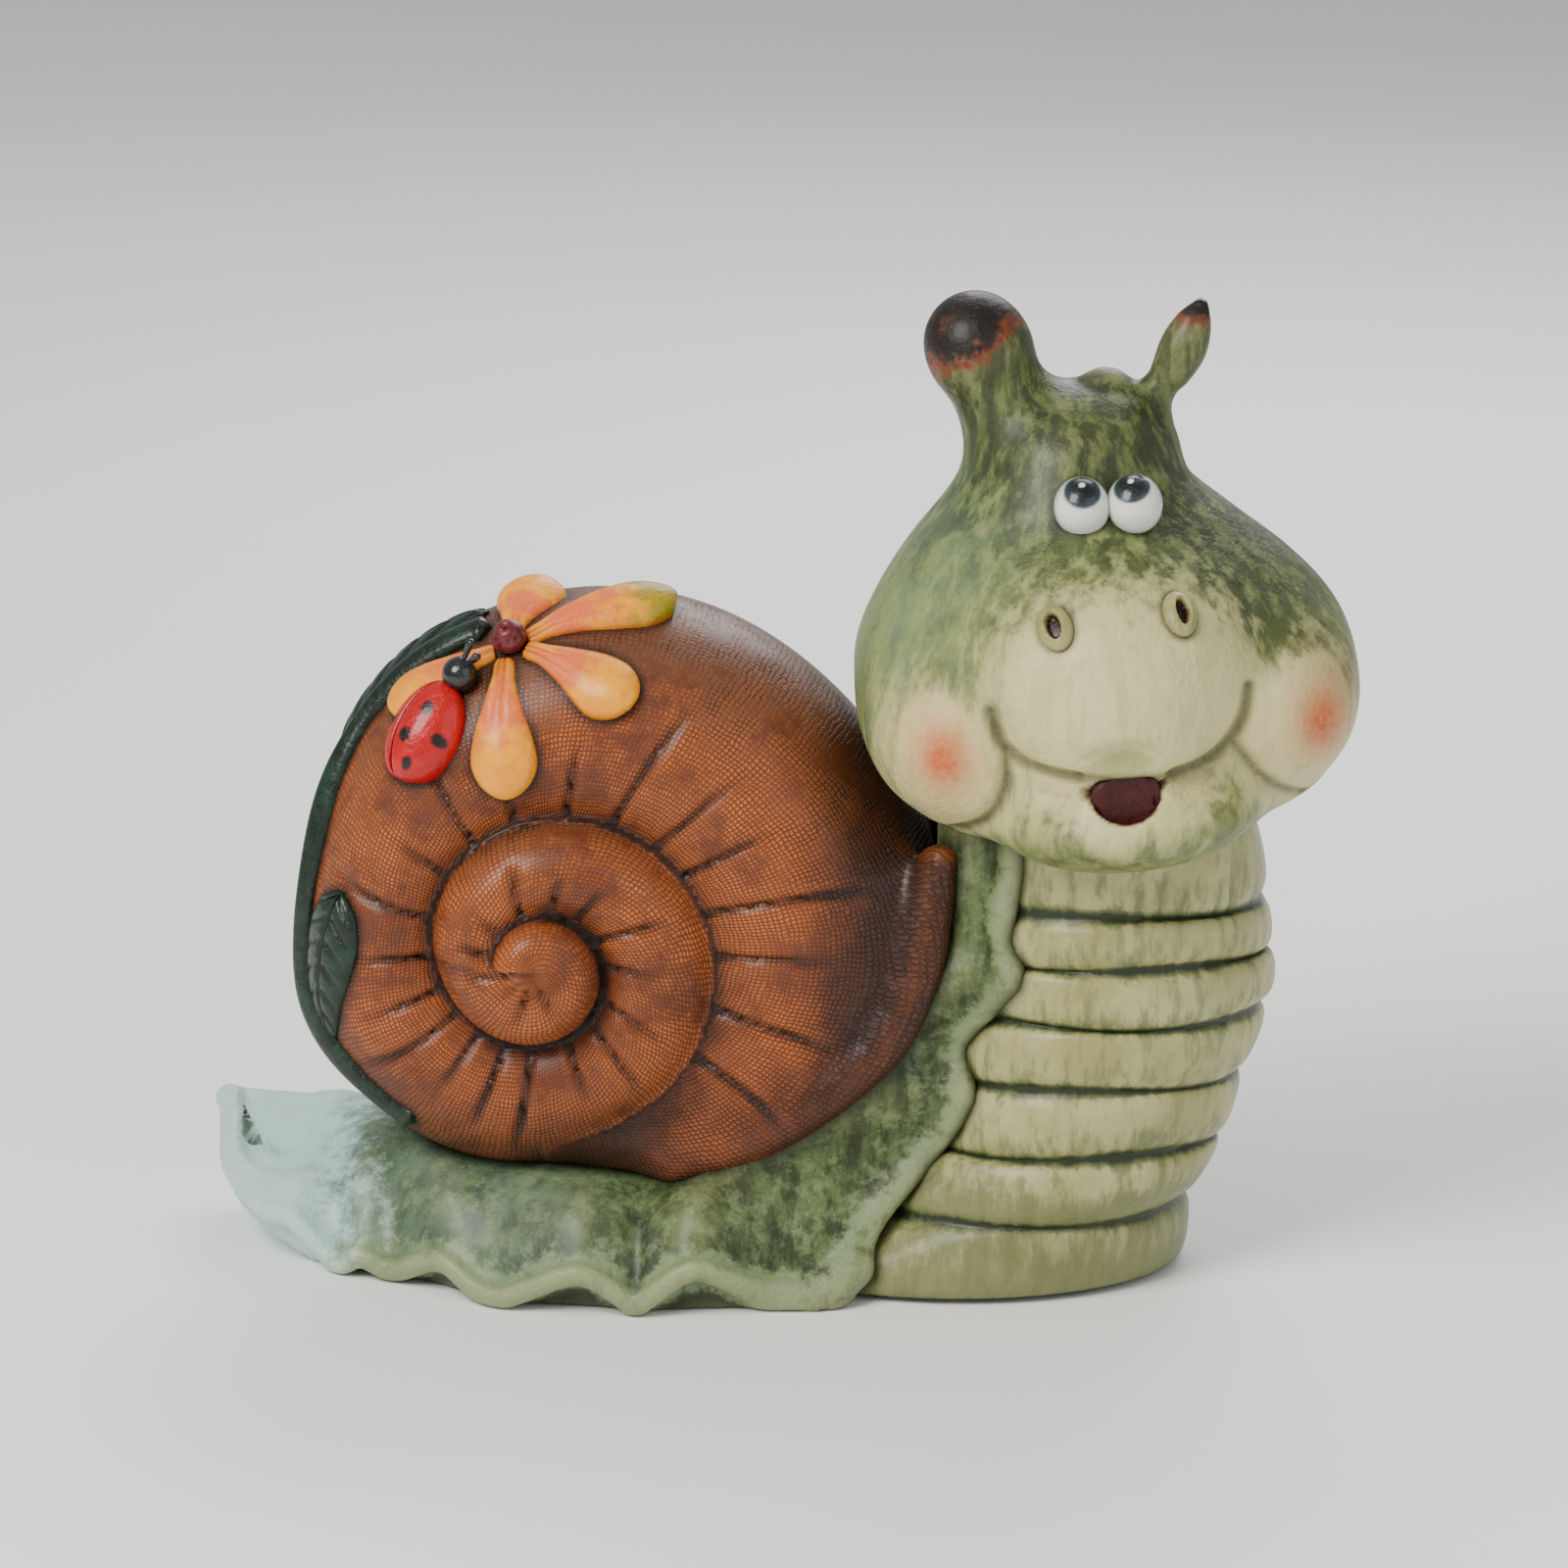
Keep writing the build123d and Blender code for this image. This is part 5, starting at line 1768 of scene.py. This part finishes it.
@dataclass
class Garland:
    """What is pressed on the shell: the stem, the leaves, the flower and the ladybird."""

    form: ShellForm = field(default_factory=ShellForm)
    petal_half_width: float = 0.0118
    petal_thick: float = 0.0048
    leaf_half_width: float = 0.0130
    leaf_thick: float = 0.0042
    bead_radius: float = 0.0062
    stem_half_width: float = 0.0056
    stem_thick: float = 0.0046
    ladybird_half_width: float = 0.0137
    ladybird_thick: float = 0.0098
    ladybird_head_radius: float = 0.0062
    head_rise_share: float = 0.9
    sunk_share: float = 0.4
    sag_radius: float = 0.085
    vein_depth: float = 0.0011
    midrib_depth: float = 0.0015
    feeler_bend: float = 0.0015
    feeler_radius: float = 0.0013
    feeler_length: float = 0.0125
    feeler_turns: tuple = (10, 55)
    # Places on the shell are a turn and how far it leans aside, in degrees
    flower: tuple = (804, -34)
    ladybird: tuple = ((792, -45), (773, -68))
    ladybird_head: tuple = (794, -44)
    # The wing line, then spots along and across the ladybird
    wing_line: float = -0.5
    spots: tuple = ((0.32, 0.13), (0.60, -0.12), (0.83, 0.18), (0.50, -0.86), (0.52, 0.72))
    # Start and end, then the half width as a share and how green its end is
    petals: tuple = (
        ("lower_right", (807, -38), (830, -66), 1.0, 0.0),
        ("lower", (803, -41), (800, -101), 1.0, 0.0),
        ("left", (801, -35), (777, -37), 1.0, 0.0),
        ("upper_left", (804, -27), (808, 8), 1.1, 0.2),
        ("upper_right", (807, -33), (831, -9), 1.0, 1.0),
    )
    leaves: tuple = (("front", (736, -60), (693, -46), 1.0), ("top", (799, -2), (757, 6), 1.1))
    stem: tuple = (
        (800, -18),
        (786, -16),
        (772, -18),
        (760, -22),
        (746, -26),
        (730, -30),
        (712, -32),
        (695, -38),
        (680, -46),
        (664, -50),
    )
    # How wide a petal, a leaf and the ladybird are along their length, as shares
    petal_outline: tuple = (
        (0.00, 0.00),
        (0.01, 0.26),
        (0.15, 0.36),
        (0.35, 0.60),
        (0.55, 0.87),
        (0.72, 1.00),
        (0.80, 0.97),
        (0.88, 0.84),
        (0.94, 0.64),
        (0.98, 0.38),
        (1.00, 0.00),
    )
    leaf_outline: tuple = (
        (0.00, 0.00),
        (0.03, 0.30),
        (0.12, 0.72),
        (0.30, 0.98),
        (0.50, 0.96),
        (0.70, 0.74),
        (0.88, 0.40),
        (1.00, 0.00),
    )
    ladybird_outline: tuple = (
        (0.00, 0.00),
        (0.02, 0.30),
        (0.08, 0.58),
        (0.20, 0.84),
        (0.36, 0.98),
        (0.52, 1.00),
        (0.70, 0.92),
        (0.86, 0.72),
        (0.96, 0.42),
        (1.00, 0.00),
    )

    def skin(self, turn: Points, lean: Points, height: Any) -> Points:
        """Give points over the shell, at turns and leans in degrees."""
        return self.form.on_skin(turn, np.radians(lean), height)

    def perch(self, place: tuple, height: float) -> tuple[Points, Points]:
        """Give the point so high over a place on the shell, and the way out of the shell there."""
        turn, lean = (np.array([value]) for value in place)
        spot = self.skin(turn, lean, height)[0]
        return spot, unit(self.skin(turn, lean, height + LOOK)[0] - spot)

    def press(
        self,
        name: str,
        line: Points,
        outline: Table,
        half_width: float,
        thick: float,
        relief: Callable[[Points, Points], Points],
        segments: int = 48,
        rings: int = 64,
    ) -> tuple[Thing, Points, Points]:
        """Press a drop of clay on the shell.

        Args:
            name: The drop's name.
            line: Its middle, as turns and leans in degrees.
            outline: How wide it is along its length, as shares.
            half_width: Its greatest half width.
            thick: How thick it is in its middle.
            relief: Gives what is added to its height, for places along and across from -1 to 1.
            segments: Vertices round it.
            rings: Rings along it.

        Returns:
            The drop, and each vertex's place along it and across it.
        """
        steps = np.linspace(0, 1, len(line))

        def place(along: Points, angle: Points) -> Points:
            """Give the drop's points."""
            turn, lean = (np.interp(along, steps, column) for column in line.T)
            later = np.minimum(along + 0.02, 1)
            before = np.maximum(along - 0.02, 0)
            centre = self.skin(turn, lean, 0)
            ahead = self.skin(np.interp(later, steps, line[:, 0]), np.interp(later, steps, line[:, 1]), 0)
            ahead -= self.skin(np.interp(before, steps, line[:, 0]), np.interp(before, steps, line[:, 1]), 0)
            out = units(self.skin(turn, lean, LOOK) - centre)
            side = units(np.cross(out, ahead))
            across = np.cos(angle)
            width = half_width * read(outline, along, 1)
            up = np.sin(angle)
            dome = np.abs(up) ** 0.75 * thick * np.sqrt(width / half_width + 0.02)
            height = np.where(up > 0, dome, up * thick * self.sunk_share)
            height = height + np.where(up > 0, relief(along, across) * np.abs(up) ** 0.5, 0)
            sag = (width * across) ** 2 / self.sag_radius
            return centre + side * (width * across)[:, None] + out * (height - sag)[:, None]

        piece = add_sphere(name, segments, rings)
        ball = points_of(piece)
        along = (1 - ball[:, 2]) / 2
        angle = np.arctan2(ball[:, 1], ball[:, 0])
        place_points(piece, place(along, angle))
        face_outwards(piece, merge=False)
        return piece, along, np.cos(angle)

    def petal(self, row: tuple, number: int) -> Thing:
        """Press a petal, thin and grooved at the bead, full and lifted at its end."""
        name, start, end, wide, green = row

        def relief(along: Points, across: Points) -> Points:
            """Groove the petal's root and lift its end."""
            root = 1 - ramp(along, 0.15, 0.62)
            folds = -0.0011 * root * (bell(across - 0.12, 0.16) + bell(across + 0.42, 0.14))
            return folds + 0.0022 * ramp(along, 0.35, 0.9) + 0.0004 * number * ramp(along, 0, 0.3)

        line = np.linspace(start, end, 12)
        sizes = (self.petal_half_width * wide, self.petal_thick)
        piece, along, across = self.press("finished_petal_" + name, line, self.petal_outline, *sizes, relief)
        mark(piece, "pink", bell(along - 0.36, 0.26) * (0.6 + 0.4 * bell(across, 0.6)))
        mark(piece, "lime", ramp(along, 0.45, 0.95) * green)
        mark(piece, "rim", np.maximum(bell(along - 0.02, 0.10), ramp(np.abs(across), 0.93, 1.0)))
        mark_relief(piece, 8, 0.0008)
        return piece

    def leaf(self, row: tuple) -> Thing:
        """Press a leaf with its midrib and side veins."""
        name, start, end, wide = row

        def relief(along: Points, across: Points) -> Points:
            """Cut the veins."""
            veins = 0.5 + 0.5 * np.cos((along * 6.5 - np.abs(across) * 1.1) * 2 * np.pi)
            out = np.abs(across)
            side = -self.vein_depth * veins**6 * ramp(out, 0.08, 0.2) * (1 - ramp(out, 0.75, 0.95))
            return side - self.midrib_depth * bell(across, 0.07) * (1 - ramp(along, 0.85, 1))

        line = np.linspace(start, end, 12)
        sizes = (self.leaf_half_width * wide, self.leaf_thick)
        piece, _, _ = self.press("finished_leaf_" + name, line, self.leaf_outline, *sizes, relief, 96, 96)
        mark_relief(piece, 8, 0.0009)
        return piece

    def bead(self) -> Thing:
        """Roll the flower's middle and prick it."""
        ball = add_sphere("finished_flower_bead", 48, 36)
        ways = points_of(ball)
        spot, out = self.perch(self.flower, self.petal_thick)
        side = unit(np.cross(out, (0, 0, 1.0)))
        rows = np.array([side, np.cross(out, side), out])
        prick = 0.45 * bell(length_of(ways - (0.1, 0.1, 1)), 0.24)
        for number in range(9):
            angle = number * 2.4
            high = 0.35 + 0.12 * math.sin(number * 3.1)
            hole = unit(np.array([0.78 * math.cos(angle), 0.78 * math.sin(angle), high]))
            prick = prick + 0.16 * bell(length_of(ways - hole), 0.16)
        place_points(ball, spot + (ways * (1 - prick)[:, None] * self.bead_radius) @ rows)
        face_outwards(ball)
        mark_relief(ball, 8, 0.0006)
        return ball

    def bug(self) -> Made:
        """Model the ladybird: its body, its head and its two feelers."""

        def relief(along: Points, across: Points) -> Points:
            """Part the two wing covers."""
            dome = 0.0012 * (1 - across * across) * np.sin(np.pi * along)
            return dome - 0.0016 * bell(across - self.wing_line, 0.05) * (1 - ramp(along, 0.9, 1.0))

        line = np.linspace(*self.ladybird, 12)
        sizes = (self.ladybird_half_width, self.ladybird_thick)
        outline = self.ladybird_outline
        body, along, across = self.press("finished_ladybird", line, outline, *sizes, relief, 96, 72)
        spots = np.zeros(len(along))
        for spot_along, spot_across in self.spots:
            reach = np.hypot(along - spot_along, (across - spot_across) * 0.38)
            spots = np.maximum(spots, 1 - ramp(reach, 0.056, 0.076))
        upper = length_of(points_of(body) - self.skin(*self.bug_line(along), 0)) > self.ladybird_thick * 0.25
        mark(body, "spot", spots * upper)
        mark_relief(body, 8, 0.0010)
        spot, out = self.perch(self.ladybird_head, self.ladybird_head_radius * self.head_rise_share)
        along_x = unit(np.array([1.0, 0, 0]) - out * out[0])
        rows = np.array([along_x, np.cross(out, along_x), out])
        head = add_sphere("finished_ladybird_head", 48, 32)
        ways = points_of(head)
        nose = 1 + 0.08 * bell(length_of(ways - np.array([0.5, 0.5, 0.7])), 0.5)
        place_points(head, spot + (ways * nose[:, None] * self.ladybird_head_radius) @ rows)
        face_outwards(head)
        mark_relief(head, 4, 0.001)
        pieces = [(body, ["ladybird_body"], "red_glaze"), (head, ["ladybird_head"], "black_glaze")]
        for name, turn_by in zip(("right", "left"), self.feeler_turns):
            lean = math.radians(turn_by)
            way = np.array([math.cos(lean), math.sin(lean), 1.0]) / math.sqrt(2)
            tips = np.linspace(0.2, 1, 6)[:, None] * self.feeler_length
            aside = np.array([[math.sin(lean), -math.cos(lean), 0.0]])
            bend = (tips / self.feeler_length) ** 2 * self.feeler_bend * aside
            line = spot + (tips * way + bend) @ rows
            radii = self.feeler_radius * np.array([1, 0.85, 0.8, 0.85, 1.05, 1.2])
            feeler = strand("finished_feeler_" + name, line, radii, 16)
            mark_relief(feeler, 2, 0.001)
            pieces.append((feeler, ["feeler_" + name], "black_glaze"))
        return pieces

    def bug_line(self, along: Points) -> tuple[Points, Points]:
        """Give the turns and leans under the ladybird's body."""
        (first, low), (last, high) = self.ladybird
        return first + (last - first) * along, low + (high - low) * along

    def stalk(self) -> Thing:
        """Press the stem along the shell's back, flattened and a little uneven."""
        rows = smooth_line(self.stem, 8)
        wave = 1 + 0.14 * np.sin(np.linspace(0, 19, len(rows)))
        outline = [(share, width) for share, width in zip(np.linspace(0, 1, len(rows)), wave)]
        outline[0], outline[-1] = (0, 0), (1, 0)

        def relief(along: Points, across: Points) -> Points:
            """Leave a soft ridge along the stem."""
            return 0.0008 * bell(across, 0.4) * np.sin(np.pi * along)

        sizes = (self.stem_half_width, self.stem_thick)
        stem, _, _ = self.press("finished_stem", rows, outline, *sizes, relief, 32, 200)
        mark_relief(stem, 8, 0.001)
        return stem

    def make(self) -> Made:
        """Model all that is pressed on the shell."""
        pieces = [(self.stalk(), ["stem"], "leaf_glaze"), (self.bead(), ["flower_bead"], "maroon_glaze")]
        for number, row in enumerate(self.petals):
            pieces.append((self.petal(row, number), ["petal_" + row[0]], "petal_glaze"))
        for row in self.leaves:
            pieces.append((self.leaf(row), ["leaf_" + row[0]], "leaf_glaze"))
        pieces += self.bug()
        return smooth_off(pieces)


# The room
@dataclass
class Studio:
    """The pale floor, the soft lights and the camera."""

    target: tuple = (0.0356, -0.015, 0.177)
    toward: tuple = (0.0671, -0.9590, 0.2757)
    distance: float = 3.2
    lens: float = 208.7
    floor_half: float = 6
    floor_drop: float = 0.0004
    floor_color: Color = (0.95, 0.95, 0.94)
    floor_shade: Color = (0.91, 0.91, 0.90)
    sky: tuple = (0.92, 0.94, 0.96, 1)
    sky_strength: float = 0.5
    # Each lamp's name, place, size, power and colour
    lamps: tuple = (
        ("key", (-0.9, -1.3, 1.5), 1.0, 50, (1.0, 0.97, 0.93)),
        ("fill", (1.3, -1.1, 0.8), 1.4, 7, (0.95, 0.98, 1.0)),
        ("back", (0.3, 1.3, 1.2), 1.0, 18, (1.0, 1.0, 1.0)),
    )

    def light(self, name: str, place: tuple, size: float, power: float, color: Color) -> None:
        """Hang a square lamp that points at the snail."""
        bpy.ops.object.select_all(action="DESELECT")
        bpy.ops.object.light_add(type="AREA", location=place)
        lamp = bpy.context.object
        lamp.name = name
        lamp.data.size = size
        lamp.data.energy = power
        lamp.data.color = color
        lamp.rotation_euler = (Vector(self.target) - Vector(place)).to_track_quat("-Z", "Y").to_euler()

    def build(self) -> None:
        """Lay the floor, hang the lights and set up the camera."""
        bpy.ops.object.select_all(action="DESELECT")
        bpy.ops.mesh.primitive_plane_add(size=2 * self.floor_half, location=(0, 0, -self.floor_drop))
        floor = bpy.context.object
        floor.name = "floor"
        bench = Bench("pale_floor")
        tone = bench.blend(bench.noise(3, 2) * 0.3, self.floor_color, self.floor_shade)
        floor.data.materials.append(bench.finish(tone, 0.8, None, 0, 0, 0.5))
        for lamp in self.lamps:
            self.light(*lamp)
        world = bpy.data.worlds.new("pale_room")
        world.use_nodes = True
        sky = world.node_tree.nodes["Background"]
        sky.inputs["Color"].default_value = self.sky
        sky.inputs["Strength"].default_value = self.sky_strength
        bpy.context.scene.world = world
        bpy.ops.object.camera_add()
        camera = bpy.context.object
        way = Vector(self.toward).normalized()
        camera.location = Vector(self.target) + way * self.distance
        camera.rotation_euler = way.to_track_quat("Z", "Y").to_euler()
        camera.data.lens = self.lens
        camera.data.sensor_width = 36
        camera.data.clip_end = 50
        bpy.context.scene.camera = camera


def eye_glaze() -> Material:
    """Mix the eyes' white, with a dark pupil and a speck of light in it."""
    bench = Bench("white_glaze")
    fine = bench.noise(700, 3)
    cloud = bench.noise(150, 3)
    color = bench.coats(
        paint(226, 226, 218),
        (cloud * 0.4, paint(204, 204, 192)),
        # Painted shade round the rim
        (bench.mark("rim_shade") * 0.6, paint(120, 128, 96)),
        (bench.mark("pupil"), paint(46, 60, 68)),
        (bench.mark("deep"), paint(12, 16, 20)),
        (bench.mark("glint"), paint(245, 247, 248)),
    )
    return bench.finish(color, 0.3 + 0.1 * cloud, fine * 0.5 + cloud * 0.5, 0.0002, 0.5, 0.12)


def mix_finishes() -> dict[str, Material]:
    """Mix every finish, by the slot or the place that it is for."""
    leaf = PlainGlaze("leaf_glaze", paint(9, 28, 17), paint(3, 8, 5), paint(24, 54, 38), coat=0.25)
    maroon = PlainGlaze("maroon_glaze", paint(88, 20, 26), paint(34, 6, 8), paint(122, 52, 52), coat=0.3)
    red = PlainGlaze("red_glaze", paint(172, 1, 3), paint(60, 1, 1), paint(190, 10, 8), rough=0.25, coat=0.35)
    black = PlainGlaze("black_glaze", paint(11, 17, 19), paint(4, 5, 6), paint(24, 34, 38), 0.18, coat=0.8)
    return {
        "face": MossyGlaze(Zone.FACE).make(),
        "skin": MossyGlaze(Zone.SKIN).make(),
        "cream_clay": CreamGlaze().make(),
        "copper_clay": CopperGlaze().make(),
        "petal_glaze": PetalGlaze().make(),
        "white_glaze": eye_glaze(),
        **{glaze.name: glaze.make() for glaze in (leaf, maroon, red, black)},
    }


def main() -> None:
    """Build the snail piece by piece and dress it."""
    logging.basicConfig(level=logging.INFO, format="%(name)s: %(message)s")
    Studio().build()
    finishes = mix_finishes()
    shell_pieces = Shell().make()
    garland_pieces = Garland().make()
    shell, garland = shell_pieces[0][0], [body for body, _, _ in garland_pieces]
    body_pieces = Body().make([body for body, _, _ in shell_pieces])
    head_pieces = Head().make()
    # Painted shade where the shell meets the foot and the garland
    mark_contact_shade(shell, [body_pieces[0][0], *garland], 0.0022)
    for body, nodes, slot in shell_pieces + garland_pieces + body_pieces + head_pieces:
        zone = {"head": "face", "stalk_right": "face", "stalk_left": "face"}.get(nodes[0], "skin")
        material = finishes[zone if slot == "mossy_clay" else slot]
        hand_in(Piece(body, nodes, slot, material))


if __name__ == "__main__":
    main()
